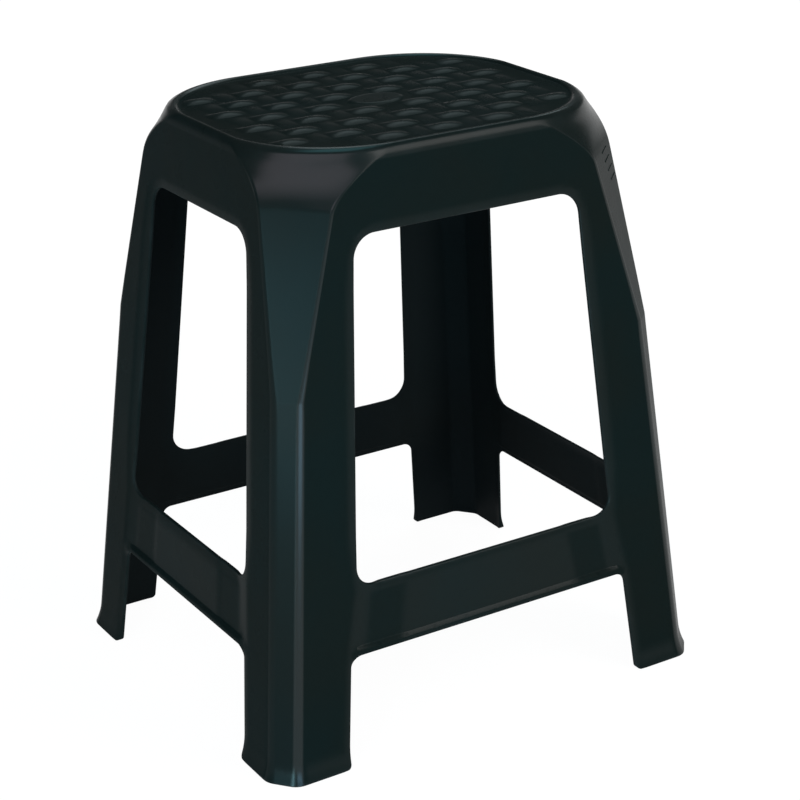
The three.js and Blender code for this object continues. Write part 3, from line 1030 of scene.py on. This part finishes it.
@dataclass
class Moulding:
    """The whole moulding, made as one quarter and mirrored to the other three.

    Leg widths are given at the floor, the stretcher's two edges and the window's upper edge.
    """

    plan: Plan = field(default_factory=Plan)
    foot: Foot = field(default_factory=Foot)
    edges: EdgeForm = field(default_factory=EdgeForm)
    rim: Rim = field(default_factory=Rim)
    weave: Weave = field(default_factory=Weave)
    long_leg_widths: tuple[float, float, float, float] = (58.9, 59.3, 63.6, 57.8)
    short_leg_widths: tuple[float, float, float, float] = (58.1, 58.4, 56.6, 54.2)
    foot_step: float = 2.2
    level_step: float = 7.0
    shoulder_step: float = 2.4
    level_clear: float = 0.7
    crease_rows: tuple[float, ...] = (-2.4, -0.8, 0.8, 2.4)
    face_polish: float = 0.085
    edge_polish: Pair = (0.5, 0.12)
    foot_polish: float = 0.14
    shoulder_polish: float = 0.45
    shoulder_fade: Pair = (2.0, 20.0)
    rim_polish: Pair = (0.16, 0.03)
    rim_swell_power: float = 0.5
    # Paleness of the rim: wear, and a painted highlight on its rounded edge.
    rim_rub: float = 0.35
    crest_polish: float = 0.14
    seat_clear: float = 0.5
    quarter: Sheet = field(default_factory=Sheet)

    def levels(self, leg_top: float) -> list[float]:
        """Lists the heights of the corners' rows.

        Args:
            leg_top: the height at which the legs end.

        Returns:
            The heights from the floor up.
        """
        stops = [self.edges.rows[-1], self.foot.height, self.plan.knee_height, leg_top,
                 self.plan.shoulder_base, self.plan.height - self.rim.rise]
        steps = [self.foot_step, self.level_step, self.level_step, self.level_step,
                 self.shoulder_step]
        found = list(self.edges.rows)
        for low, high, step in zip(stops, stops[1:], steps):
            pieces = math.ceil((high - low) / step)
            found += [lerp(low, high, k / pieces) for k in range(1, pieces)] + [high]
        for crease in (self.plan.knee_height, self.plan.shoulder_base):
            found += [crease + row for row in self.crease_rows]
        found.sort()
        keep = set(stops) | set(self.edges.rows)
        thin = [z for z in found
                if z in keep or all(abs(z - other) > self.level_clear for other in keep)]
        return sorted(set(thin))

    def skin_insets(self, z: float) -> Pair:
        """Works out how far a corner's skins lie inside its outline.

        Args:
            z: the height.

        Returns:
            The insets of the outside and of the inside.
        """
        gap = np.array([z])
        outer = float(self.edges.fall(gap, self.edges.outer_radius)[0]) - float(self.foot.swell(z))
        return outer, self.plan.wall - float(self.edges.fall(gap, self.edges.inner_radius)[0])

    def corner_polish(self, column: int, z: float) -> float:
        """Works out the skin's polish on a corner: most on its edges and on the shoulder.

        Args:
            column: the step round the corner.
            z: the height.

        Returns:
            The polish.
        """
        steps = self.plan.edge_steps
        start, full = self.shoulder_fade
        shoulder = float(ease(z, self.plan.shoulder_base + start, self.plan.shoulder_base + full))
        polish = max(self.face_polish, self.shoulder_polish * shoulder,
                     self.foot_polish * float(self.foot.polish(z)))
        for near, most in zip((column, self.plan.corner_columns - column), self.edge_polish):
            edge = float(1.0 - ease(abs(near - steps / 2), steps / 2 - 1.0, steps / 2))
            polish = max(polish, most * edge * (1.0 - shoulder))
        ends = float(ease(min(column, self.plan.corner_columns - column), 0.0, 1.0))
        return ends * polish

    def corner_rows(self, face: WallFace, levels: list[float]) -> list[list[int]]:
        """Lays the corner's rows of points, from the long wall to the short one.

        Args:
            face: a wall, which gives the heights inside.
            levels: the rows' heights.

        Returns:
            The numbers of each row's points.
        """
        rows = []
        for z in levels:
            outer_inset, inner_inset = self.skin_insets(z)
            inner_z = float(face.inner_height(z))
            wear_and_sheen = float(1.0 - ease(z, *self.edges.foot_rub_reach))
            row = []
            for column in range(self.plan.corner_columns + 1):
                outer = (*self.plan.corner_point(column, z, outer_inset), z)
                inner = (*self.plan.corner_point(column, inner_z, inner_inset), inner_z)
                row.append(self.quarter.add(outer, inner, wear_and_sheen, self.corner_polish(column, z)))
            rows.append(row)
        return rows

    def build_quarter(self) -> None:
        """Meshes the quarter at the back right."""
        faces = [WallFace(side, self.plan, self.foot, self.edges, widths)
                 for side, widths in ((Side.LONG, self.long_leg_widths),
                                      (Side.SHORT, self.short_leg_widths))]
        levels = self.levels(faces[0].leg_top)
        rows = self.corner_rows(faces[0], levels)

        def corner_member(z: float) -> str:
            """Names the member of a corner at a height."""
            if z < self.foot.height:
                return CORNER_NAMES["foot"]
            return CORNER_NAMES["leg" if z < faces[0].leg_top else "shoulder"]

        for low, high, z in zip(rows, rows[1:], levels):
            self.quarter.strip(low, high, lambda k, z=z: corner_member(z))
        tops = []
        for face, column in zip(faces, (0, -1)):
            across = "{end}_" if face.side is Side.LONG else "{side}_"
            names = CORNER_NAMES | {part: across + part for part in ("apron", "stretcher")}
            mesher = WallMesher(face, self.quarter, levels, [row[column] for row in rows],
                                self.plan.height - self.rim.rise)
            tops.append(mesher.build(names))
        around = tops[0] + rows[-1][1:-1] + tops[1][::-1]
        inner_base = float(faces[0].inner_height(self.plan.height - self.rim.rise))
        self.build_rim(around, len(tops[0]), len(tops[1]), inner_base)

    def build_rim(self, around: list[int], long_count: int, short_count: int,
                  inner_base: float) -> None:
        """Lays the rim and the seat panel over the top edge of the walls.

        Args:
            around: numbers of the points along the top edge, from the long wall's middle
                to the short wall's.
            long_count: how many of them lie on the long wall.
            short_count: how many lie on the short wall.
            inner_base: the height inside the wall that goes with the rim's foot.
        """
        base = self.plan.height - self.rim.rise
        long_shares = [self.quarter.outer[i][0] / self.plan.tangent(0, base)
                       for i in around[:long_count]]
        short_shares = [self.quarter.outer[i][1] / self.plan.tangent(1, base)
                        for i in around[-short_count:]]

        def ring(plan_z: float, inset: float) -> list[Pair]:
            """Finds the plan points of one row.

            Args:
                plan_z: the height at which the plan is read.
                inset: how far the row lies inside the plan's outline.

            Returns:
                X and Y of each point.
            """
            flat_y = self.plan.half(1, plan_z) - inset
            flat_x = self.plan.half(0, plan_z) - inset
            points = [(share * self.plan.tangent(0, plan_z), flat_y) for share in long_shares]
            points += [self.plan.corner_point(column, plan_z, inset)
                       for column in range(1, self.plan.corner_columns)]
            return points + [(flat_x, share * self.plan.tangent(1, plan_z))
                             for share in short_shares]

        def rim_member(k: int) -> str:
            """Names the member of a step round the rim."""
            if k < long_count - 1:
                return "{end}_apron"
            return "{side}_apron" if k >= len(around) - short_count else CORNER_NAMES["shoulder"]

        polish = self.polish_round_rim(long_count, short_count, len(around))
        previous = around
        crown_rows = self.rim.arc_rows + len(self.rim.crown)
        rows = self.rim.rows(self.plan.height, self.plan.wall, inner_base)
        for k, (plan_z, outer, inner) in enumerate(rows):
            inner_z = min(plan_z, inner[1]) if k < self.rim.arc_rows else plan_z
            outside = [(*p, outer[1]) for p in ring(plan_z, outer[0])]
            inside = [(*p, inner[1]) for p in ring(inner_z, inner[0])]
            panel = k >= crown_rows
            # The rim is paled all round: wear, and a painted highlight on its rounded edge.
            row = [self.quarter.add(o, i, self.rim_rub, 0.0 if panel else bright)
                   for o, i, bright in zip(outside, inside, polish)]
            self.quarter.strip(previous, row, lambda j, panel=panel:
                               "seat_panel" if panel else rim_member(j))
            previous = row
        self.build_seat(previous)

    def polish_round_rim(self, long_count: int, short_count: int, count: int) -> list[float]:
        """Works out the skin's polish round a quarter of the rim: most over the shoulder.

        Args:
            long_count: how many points lie on the long wall.
            short_count: how many lie on the short wall.
            count: how many there are in all.

        Returns:
            The polish at each point.
        """
        shares = [float(share_between(k, long_count, count - short_count)) for k in range(count)]
        polish = [lerp(*self.rim_polish, share) for share in shares]
        columns = self.plan.corner_columns
        for k in range(1, columns):
            swell = math.sin(math.pi * k / columns) ** self.rim_swell_power
            spot = long_count - 1 + k
            polish[spot] = lerp(polish[spot], self.shoulder_polish, swell)
        return polish

    def field_outline(self) -> np.ndarray:
        """Draws the whole plan outline that the weave's crests stay inside.

        Returns:
            Its corners in order.
        """
        height = self.plan.height
        flat_y = self.plan.half(1, height) - self.weave.margin
        corner = [self.plan.corner_point(c, height, self.weave.margin)
                  for c in range(self.plan.corner_columns + 1)]
        quarter = [(0.0, flat_y), *corner]
        right = quarter + [(x, -y) for x, y in reversed(quarter)]
        return np.array(right + [(-x, y) for x, y in reversed(right)])

    def build_seat(self, ring: list[int]) -> None:
        """Fills the seat panel.

        Args:
            ring: the numbers of the points round it, from the long wall's middle to the
                short wall's.
        """
        height = self.plan.height - self.rim.drop
        under = height - self.rim.seat_wall
        step = [pitch / self.weave.steps_per_pitch for pitch in self.weave.pitch]
        edge = [self.quarter.outer[i][:2] for i in ring]
        reach_x, reach_y = edge[-1][0], edge[0][1]
        along_x = [(x, 0.0) for x in np.arange(0.0, reach_x - step[0] / 2, step[0])]
        along_y = [(0.0, y) for y in np.arange(step[1], reach_y - step[1] / 2, step[1])]
        outline = [*along_x, *edge[::-1], *along_y[::-1]]
        bound = np.array(outline)
        grid = np.array([(i * step[0], j * step[1])
                         for i in range(1, math.ceil(reach_x / step[0]))
                         for j in range(1, math.ceil(reach_y / step[1]))])
        grid = grid[inside_outline(grid, bound)]
        ring_path = bound[len(along_x) - 1:-len(along_y) + 1]
        grid = grid[path_distance(grid, ring_path) > step[0] * self.seat_clear]
        fresh = np.array(along_x + along_y + [tuple(p) for p in grid])
        rise = self.weave.height(fresh, self.field_outline())
        # The crests are paled by their height: wear on their tops, and a painted highlight where
        # light catches them.
        crests = rise / self.weave.crest_rise
        numbers = [self.quarter.add((x, y, height + h), (x, y, under), crest,
                                    crest * self.crest_polish)
                   for (x, y), h, crest in zip(fresh, rise, crests)]
        count_x, count_y = len(along_x), len(along_y)
        order = numbers[:count_x] + ring[::-1] + numbers[count_x:count_x + count_y][::-1]
        order += numbers[count_x + count_y:]
        points = outline + [tuple(p) for p in grid]
        _, _, triangles, origins, _, _ = delaunay_2d_cdt(
            [Vector(p) for p in points], [], [list(range(len(outline)))], 1, MERGE_GAP, True)
        for triangle in triangles:
            self.quarter.face(tuple(order[origins[i][0]] for i in triangle), "seat_panel")

    def whole(self) -> Sheet:
        """Mirrors the quarter to the other three.

        Returns:
            The whole sheet, whose members are the CAD nodes' names.
        """
        sheet = Sheet()
        seen: dict[Triple, int] = {}
        for end, sign_y in (("front", -1.0), ("back", 1.0)):
            for side, sign_x in (("left", -1.0), ("right", 1.0)):
                numbers = []
                points = zip(self.quarter.outer, self.quarter.inner, self.quarter.wear_and_sheen,
                             self.quarter.polish)
                for outer, inner, wear_and_sheen, polish in points:
                    key = (outer[0] * sign_x + 0.0, outer[1] * sign_y + 0.0, outer[2])
                    if key not in seen:
                        turned = (inner[0] * sign_x + 0.0, inner[1] * sign_y + 0.0, inner[2])
                        seen[key] = sheet.add(key, turned, wear_and_sheen, polish)
                    numbers.append(seen[key])
                for corners, member in zip(self.quarter.faces, self.quarter.members):
                    sheet.face(tuple(numbers[i] for i in corners),
                               member.format(end=end, side=side))
        return sheet


@dataclass
class Skins:
    """Turns a sheet into closed pieces whose shading runs on from one to the next."""

    sheet: Sheet
    outer: np.ndarray = field(init=False)
    inner: np.ndarray = field(init=False)
    faces: list[tuple[int, ...]] = field(init=False)
    outer_normals: np.ndarray = field(init=False)
    inner_normals: np.ndarray = field(init=False)
    free_edges: set[tuple[int, int]] = field(init=False)

    def __post_init__(self) -> None:
        """Turns each face outwards, and works out the shading of the whole."""
        self.outer = np.array(self.sheet.outer)
        self.inner = np.array(self.sheet.inner)
        self.outer_normals = np.zeros_like(self.outer)
        self.inner_normals = np.zeros_like(self.inner)
        self.faces = list(self.sheet.faces)
        used: dict[tuple[int, int], int] = {}
        for corners in (3, 4):
            self.turn_outwards(corners)
        for face in self.faces:
            for a, b in zip(face, face[1:] + face[:1]):
                used[(a, b)] = used.get((a, b), 0) + 1
        free = [(a, b) for a, b in used if (b, a) not in used]
        self.free_edges = set(free)
        self.shade(free)

    def turn_outwards(self, corners: int) -> None:
        """Puts the corners of faces in the order that looks outwards.

        Args:
            corners: the number of corners of the faces to turn.
        """
        spots = [k for k, face in enumerate(self.faces) if len(face) == corners]
        faces = np.array([self.faces[k] for k in spots])
        thick = (self.outer[faces] - self.inner[faces]).sum(1)
        wrong = (self.area_vectors(self.outer[faces]) * thick).sum(1) < 0
        for k, face, turned in zip(spots, faces.tolist(), wrong):
            self.faces[k] = tuple(face[::-1] if turned else face)

    def shade(self, free: list[tuple[int, int]]) -> None:
        """Works out a normal for each point, outside and inside, weighted by area.

        Args:
            free: the edges that only one face uses, which get the sheet's thickness.
        """
        for corners in (3, 4):
            faces = np.array([face for face in self.faces if len(face) == corners])
            for places, normals, sign in ((self.outer, self.outer_normals, 1.0),
                                          (self.inner, self.inner_normals, -1.0)):
                push = sign * self.area_vectors(places[faces])
                for k in range(corners):
                    np.add.at(normals, faces[:, k], push)
        first, second = np.array(free).T
        push = self.area_vectors(self.thickness(first, second))
        for normals in (self.outer_normals, self.inner_normals):
            np.add.at(normals, first, push)
            np.add.at(normals, second, push)
            normals /= np.maximum(np.linalg.norm(normals, axis=1, keepdims=True), TINY)

    def thickness(self, first: np.ndarray, second: np.ndarray) -> np.ndarray:
        """Returns the corners of the faces that join the two skins along edges."""
        return np.stack([self.outer[second], self.outer[first],
                         self.inner[first], self.inner[second]], axis=1)

    @staticmethod
    def area_vectors(corners: np.ndarray) -> np.ndarray:
        """Works out the vector square to each face, as long as its area.

        Args:
            corners: the places of each face's three or four corners.

        Returns:
            One vector for each face.
        """
        if corners.shape[1] == 3:
            return np.cross(corners[:, 1] - corners[:, 0], corners[:, 2] - corners[:, 0]) / 2
        return np.cross(corners[:, 2] - corners[:, 0], corners[:, 3] - corners[:, 1]) / 2

    def piece(self, name: str, material: bpy.types.Material) -> bpy.types.Object:
        """Makes the closed piece of one member.

        Args:
            name: the member's name.
            material: its finish.

        Returns:
            The new object.
        """
        own = [face for face, member in zip(self.faces, self.sheet.members) if member == name]
        ids = sorted({i for face in own for i in face})
        order = {number: k for k, number in enumerate(ids)}
        count = len(ids)
        polygons: list[tuple[int, ...]] = []
        normals: list[np.ndarray] = []
        edges: set[tuple[int, int]] = set()
        for face in own:
            polygons.append(tuple(order[i] for i in face))
            normals.extend(self.outer_normals[list(face)])
            polygons.append(tuple(order[i] + count for i in face[::-1]))
            normals.extend(self.inner_normals[list(face[::-1])])
            edges.update(zip(face, face[1:] + face[:1]))
        rims = [(a, b) for a, b in sorted(edges) if (b, a) not in edges]
        flat = self.area_vectors(self.thickness(*np.array(rims).T))
        flat /= np.maximum(np.linalg.norm(flat, axis=1, keepdims=True), TINY)
        for (a, b), square in zip(rims, flat):
            polygons.append((order[b], order[a], order[a] + count, order[b] + count))
            if (a, b) in self.free_edges:
                normals.extend([self.outer_normals[b], self.outer_normals[a],
                                self.inner_normals[a], self.inner_normals[b]])
            else:
                normals.extend([square] * 4)
        places = np.vstack([self.outer[ids], self.inner[ids]]) * METRES
        mesh = bpy.data.meshes.new(name)
        mesh.from_pydata(places.tolist(), [], polygons)
        mesh.update()
        for key, skin in (("wear_and_sheen", self.sheet.wear_and_sheen), ("polish", self.sheet.polish)):
            values = np.concatenate([np.array(skin)[ids], np.zeros(count)])
            mesh.attributes.new(key, "FLOAT", "POINT").data.foreach_set("value", values)
        mesh.attributes.new("inside", "FLOAT", "POINT").data.foreach_set(
            "value", np.concatenate([np.zeros(count), np.ones(count)]))
        mesh.polygons.foreach_set("use_smooth", [True] * len(mesh.polygons))
        mesh.normals_split_custom_set([tuple(n) for n in normals])
        mesh.materials.append(material)
        piece = bpy.data.objects.new(f"{name}_skin", mesh)
        bpy.context.scene.collection.objects.link(piece)
        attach(piece, BODY)
        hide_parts(name)
        log.info("%s: %d faces", piece.name, len(polygons))
        return piece


@dataclass(frozen=True)
class CornerMarks:
    """Short slanted ribs on the panel of the front right corner, one under the other.

    A place is the share of the way round the corner, and the height.
    """

    count: int = 4
    first: Pair = (0.48, 412.0)
    pitch: Pair = (0.035, -7.3)
    reach: Pair = (0.17, 1.5)
    width: float = 2.0
    top_share: float = 0.5
    rise: float = 0.35
    sink: float = 0.6

    def build(self, plan: Plan, material: bpy.types.Material) -> None:
        """Makes one object of the ribs, each of which is a closed block.

        Args:
            plan: the stool's plan, which gives the panel's place.
            material: the ribs' finish.
        """
        points: list[Triple] = []
        faces: list[tuple[int, ...]] = []
        for k in range(self.count):
            start = [spot + step * k for spot, step in zip(self.first, self.pitch)]
            end = [spot + length for spot, length in zip(start, self.reach)]
            rows = []
            for inset in (self.sink, -self.rise):
                for share, z in (start, end):
                    x, y = plan.corner_point(share * plan.corner_columns, z, inset)
                    rows.append(Vector((x, -y, z)))
            along = (rows[1] - rows[0]).normalized()
            out = (rows[2] - rows[0]).normalized()
            half = out.cross(along) * self.width / 2
            first = len(points)
            for row, slim in zip(rows, (1.0, 1.0, self.top_share, self.top_share)):
                for sign in (-1.0, 1.0):
                    points.append(tuple((row + half * sign * slim) * METRES))
            faces += [tuple(first + i for i in face) for face in BLOCK_FACES]
        mesh = bpy.data.meshes.new("corner_marks")
        mesh.from_pydata(points, [], faces)
        mesh.materials.append(material)
        marks = bpy.data.objects.new("front_right_shoulder_marks", mesh)
        bpy.context.scene.collection.objects.link(marks)
        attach(marks, BODY)


class Wire:
    """A socket of a material's nodes that takes part in sums."""

    def __init__(self, shader: "Shader", socket: bpy.types.NodeSocket) -> None:
        """Wraps an output socket of a shader's tree."""
        self.shader = shader
        self.socket = socket

    def _maths(self, operation: str, first: "Wire | float", second: "Wire | float") -> "Wire":
        """Adds a Math node and returns its output."""
        return self.shader.node("ShaderNodeMath", {"operation": operation},
                                {0: first, 1: second})[0]

    def __add__(self, other: "Wire | float") -> "Wire":
        """Returns the sum."""
        return self._maths("ADD", self, other)

    def __radd__(self, other: float) -> "Wire":
        """Returns the sum with a number in front."""
        return self._maths("ADD", other, self)

    def __sub__(self, other: "Wire | float") -> "Wire":
        """Returns the difference."""
        return self._maths("SUBTRACT", self, other)

    def __rsub__(self, other: float) -> "Wire":
        """Returns a number less this value."""
        return self._maths("SUBTRACT", other, self)

    def __mul__(self, other: "Wire | float") -> "Wire":
        """Returns the product."""
        return self._maths("MULTIPLY", self, other)

    def __rmul__(self, other: float) -> "Wire":
        """Returns the product with a number in front."""
        return self._maths("MULTIPLY", other, self)

    def largest(self, other: "Wire | float") -> "Wire":
        """Returns the larger of two values."""
        return self._maths("MAXIMUM", self, other)


class Shader:
    """The node tree of one material or world, written as expressions."""

    def __init__(self, owner: bpy.types.Material | bpy.types.World) -> None:
        """Starts an empty tree.

        Args:
            owner: the material or world that the tree belongs to.
        """
        owner.use_nodes = True
        self.tree = owner.node_tree
        self.tree.nodes.clear()

    def node(self, kind: str, settings: dict[str, object],
             inputs: dict[str | int, object]) -> list[Wire]:
        """Adds a node.

        Args:
            kind: the node's type.
            settings: its settings, such as a Math node's operation.
            inputs: a value or a wire for each socket, by name or number.

        Returns:
            Its outputs.
        """
        node = self.tree.nodes.new(kind)
        for key, value in settings.items():
            setattr(node, key, value)
        for key, value in inputs.items():
            socket = node.inputs[key]
            if isinstance(value, Wire):
                self.tree.links.new(value.socket, socket)
            else:
                socket.default_value = value
        return [Wire(self, output) for output in node.outputs]

    def noise(self, where: Wire, scale: float, detail: float) -> Wire:
        """Returns noise from 0 to 1 at a place."""
        return self.node("ShaderNodeTexNoise", {},
                         {"Vector": where, "Scale": scale, "Detail": detail})[0]

    def band(self, value: Wire, low: float, high: float) -> Wire:
        """Returns 0 below low and 1 above high, smooth between them."""
        return self.node("ShaderNodeMapRange", {"interpolation_type": "SMOOTHSTEP"},
                         {"Value": value, "From Min": low, "From Max": high})[0]

    def blend(self, share: Wire | float, first: object, second: object) -> Wire:
        """Returns a colour between two others."""
        return self.node("ShaderNodeMix", {"data_type": "RGBA"},
                         {MIX_SHARE: share, MIX_FIRST: first, MIX_SECOND: second})[MIX_COLOUR]

    def attribute(self, name: str) -> Wire:
        """Returns the value that a mesh carries under a name."""
        return self.node("ShaderNodeAttribute", {"attribute_name": name}, {})[VALUE]

    def position(self) -> Wire:
        """Returns the place of the spot that is shaded."""
        return self.node("ShaderNodeNewGeometry", {}, {})[POSITION]


@dataclass(frozen=True)
class SatinPlastic:
    """Moulded polypropylene: dark, satin, faintly uneven, paler where worn and where a highlight is
    painted on edges, rim and crests.

    Cloud, smear, peel and wave are noises, each given by its scale and its detail.
    """

    name: str = "satin_polypropylene"
    colour: Triple = (0.0059, 0.0114, 0.0110)
    warm_colour: Triple = (0.0072, 0.0110, 0.0099)
    inside_colour: Triple = (0.0084, 0.0114, 0.0118)
    # A paler colour that serves for wear and also as a painted highlight.
    rubbed_colour: Triple = (0.016, 0.022, 0.022)
    roughness: float = 0.28
    roughness_spread: float = 0.12
    inside_roughness: float = 0.14
    specular: float = 0.006
    refraction: float = 1.5
    coat_roughness: float = 0.24
    cloud: Pair = (9.0, 3.0)
    cloud_band: Pair = (0.35, 0.7)
    smear: Pair = (38.0, 5.0)
    worn_band: Pair = (0.35, 0.75)
    worn_share: float = 0.6
    peel: Pair = (900.0, 2.0)
    peel_depth: float = 0.00004
    wave: Pair = (16.0, 2.0)
    wave_depth: float = 0.0012
    bump_strength: float = 0.5

    def make(self) -> bpy.types.Material:
        """Makes the material.

        Returns:
            The material.
        """
        material = bpy.data.materials.new(self.name)
        shader = Shader(material)
        place = shader.position()
        cloud = shader.noise(place, *self.cloud)
        smear = shader.noise(place, *self.smear)
        wear_and_sheen = shader.attribute("wear_and_sheen")
        inside = shader.attribute("inside")
        base = shader.blend(shader.band(cloud, *self.cloud_band), (*self.colour, 1.0),
                            (*self.warm_colour, 1.0))
        base = shader.blend(inside, base, (*self.inside_colour, 1.0))
        # Paler in patches on edges, rim and crest tops: partly wear, partly a painted highlight.
        patchy_wear_and_sheen = wear_and_sheen * shader.band(smear, *self.worn_band)
        colour = shader.blend(patchy_wear_and_sheen * self.worn_share, base, (*self.rubbed_colour, 1.0))
        rough = self.roughness + (smear - 0.5) * self.roughness_spread
        rough = rough + inside * self.inside_roughness
        peel = shader.noise(place, *self.peel)
        wave = shader.noise(place, *self.wave)
        height = peel * self.peel_depth + wave * self.wave_depth
        bump = shader.node("ShaderNodeBump", {}, {
            "Height": height, "Strength": self.bump_strength, "Distance": 1.0})[0]
        surface = shader.node("ShaderNodeBsdfPrincipled", {}, {
            "Base Color": colour, "Roughness": rough, "Normal": bump,
            "Specular IOR Level": self.specular, "IOR": self.refraction,
            "Coat Weight": shader.attribute("polish"),
            "Coat Roughness": self.coat_roughness, "Coat IOR": self.refraction})[0]
        shader.node("ShaderNodeOutputMaterial", {}, {"Surface": surface})
        return material


@dataclass(frozen=True)
class Lamp:
    """A soft rectangular lamp that faces a point and that the camera doesn't see."""

    name: str
    place: Triple
    size: Pair
    power: float
    colour: Triple
    aim: Triple = (0.0, 0.0, 0.25)

    def add(self) -> None:
        """Adds the lamp to the scene."""
        data = bpy.data.lights.new(self.name, "AREA")
        data.shape = "RECTANGLE"
        data.size, data.size_y = self.size
        data.energy = self.power
        data.color = self.colour
        lamp = bpy.data.objects.new(self.name, data)
        lamp.location = self.place
        lamp.visible_camera = False
        lamp.rotation_mode = "QUATERNION"
        lamp.rotation_quaternion = (Vector(self.aim) - Vector(self.place)).to_track_quat("-Z", "Y")
        bpy.context.scene.collection.objects.link(lamp)


@dataclass(frozen=True)
class Studio:
    """Pale floor, soft light and the photograph's camera."""

    target: Triple = (0.009066, -0.013264, 0.209049)
    azimuth: float = -31.824
    elevation: float = 22.133
    roll: float = -0.935
    distance: float = 1.669567
    lens: float = 95.24
    view_reach: float = 100.0
    lamps: tuple[Lamp, ...] = (
        Lamp("back_high", (0.8, 0.85, 1.6), (1.0, 0.8), 7.5, (0.8, 0.97, 1.0)),
        Lamp("low_left", (-1.15, -0.77, 0.33), (0.42, 0.6), 7.0, (0.42, 0.86, 1.0)),
        Lamp("high_left", (-1.15, -1.0, 1.5), (2.2, 1.0), 14.0, (1.0, 0.88, 1.0)),
        Lamp("front_strip", (-0.31, -0.88, 0.14), (0.42, 0.16), 1.35, (0.41, 0.74, 1.0),
             (-0.12, -0.12, 0.14)),
        Lamp("front_right", (1.0, -1.8, 1.35), (1.2, 1.0), 26.0, (1.0, 0.97, 0.94)),
        Lamp("overhead", (0.2, 0.1, 2.4), (1.0, 1.0), 8.0, (0.3, 0.9, 1.0)))
    floor_colour: Triple = (0.86, 0.86, 0.86)
    floor_glow: Pair = (0.93, 1.0)
    floor_fade: Pair = (0.45, 1.5)
    floor_white: float = 1.04
    world_strength: float = 0.12
    backdrop_radius: float = 26.0
    backdrop_height: float = 2.4
    backdrop_sides: int = 64

    def camera(self) -> None:
        """Adds the camera and makes it the scene's."""
        around, up = math.radians(self.azimuth), math.radians(self.elevation)
        back = Vector((math.sin(around) * math.cos(up), -math.cos(around) * math.cos(up),
                       math.sin(up)))
        data = bpy.data.cameras.new("view")
        data.lens = self.lens
        data.clip_end = self.view_reach
        camera = bpy.data.objects.new("view", data)
        facing = (-back).to_track_quat("-Z", "Y").to_matrix()
        spin = Matrix.Rotation(math.radians(self.roll), 3, "Z")
        camera.matrix_world = Matrix.LocRotScale(
            Vector(self.target) + back * self.distance, (facing @ spin).to_quaternion(), None)
        bpy.context.scene.collection.objects.link(camera)
        bpy.context.scene.camera = camera

    def lights(self) -> None:
        """Adds the lamps."""
        for lamp in self.lamps:
            lamp.add()

    def world(self) -> None:
        """Makes the room's dim light."""
        world = bpy.data.worlds.new("studio")
        bpy.context.scene.world = world
        shader = Shader(world)
        light = shader.node("ShaderNodeBackground", {}, {"Strength": self.world_strength})[0]
        shader.node("ShaderNodeOutputWorld", {}, {"Surface": light})

    def paper(self) -> bpy.types.Material:
        """Makes the pale paper of the floor and the backdrop, which keeps a soft shadow.

        Returns:
            The material.
        """
        material = bpy.data.materials.new("studio_paper")
        shader = Shader(material)
        rays = shader.node("ShaderNodeLightPath", {}, {})
        seen = rays[CAMERA_RAY].largest(rays[GLOSSY_RAY]).largest(rays[TRANSMISSION_RAY])
        reach = shader.node("ShaderNodeVectorMath", {"operation": "LENGTH"},
                            {0: shader.position()})[LENGTH]
        near, far = self.floor_glow
        share = near + shader.band(reach, *self.floor_fade) * (far - near)
        matt = shader.node("ShaderNodeBsdfDiffuse", {}, {"Color": (*self.floor_colour, 1.0)})[0]
        glow = shader.node("ShaderNodeEmission", {}, {"Strength": self.floor_white})[0]
        mixed = shader.node("ShaderNodeMixShader", {}, {0: seen * share, 1: matt, 2: glow})[0]
        shader.node("ShaderNodeOutputMaterial", {}, {"Surface": mixed})
        return material

    def floor(self) -> None:
        """Adds the floor and the low backdrop that closes it all round."""
        points = [(0.0, 0.0, 0.0)]
        faces = []
        for k in range(self.backdrop_sides):
            angle = 2.0 * math.pi * k / self.backdrop_sides
            spot = (self.backdrop_radius * math.cos(angle), self.backdrop_radius * math.sin(angle))
            points += [(*spot, 0.0), (*spot, self.backdrop_height)]
            a, b = 1 + 2 * k, 1 + 2 * ((k + 1) % self.backdrop_sides)
            faces += [(0, a, b), (a, b, b + 1, a + 1)]
        mesh = bpy.data.meshes.new("floor")
        mesh.from_pydata(points, [], faces)
        mesh.materials.append(self.paper())
        floor = bpy.data.objects.new("floor", mesh)
        bpy.context.scene.collection.objects.link(floor)

    def build(self) -> None:
        """Sets the whole studio up."""
        self.camera()
        self.lights()
        self.world()
        self.floor()
        bpy.context.scene.view_settings.view_transform = "Standard"
        log.info("studio ready")


def main() -> None:
    """Builds the stool and the studio."""
    logging.basicConfig(level=logging.INFO, format="%(message)s")
    plastic = SatinPlastic().make()
    moulding = Moulding()
    moulding.build_quarter()
    skins = Skins(moulding.whole())
    members = sorted(set(skins.sheet.members))
    for name in members:
        skins.piece(name, plastic)
    CornerMarks().build(moulding.plan, plastic)
    for name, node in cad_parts.items():
        if name not in members:
            node.data.materials.clear()
            node.data.materials.append(plastic)
            log.info("%s keeps its CAD shape", name)
    Studio().build()


if __name__ == "__main__":
    main()
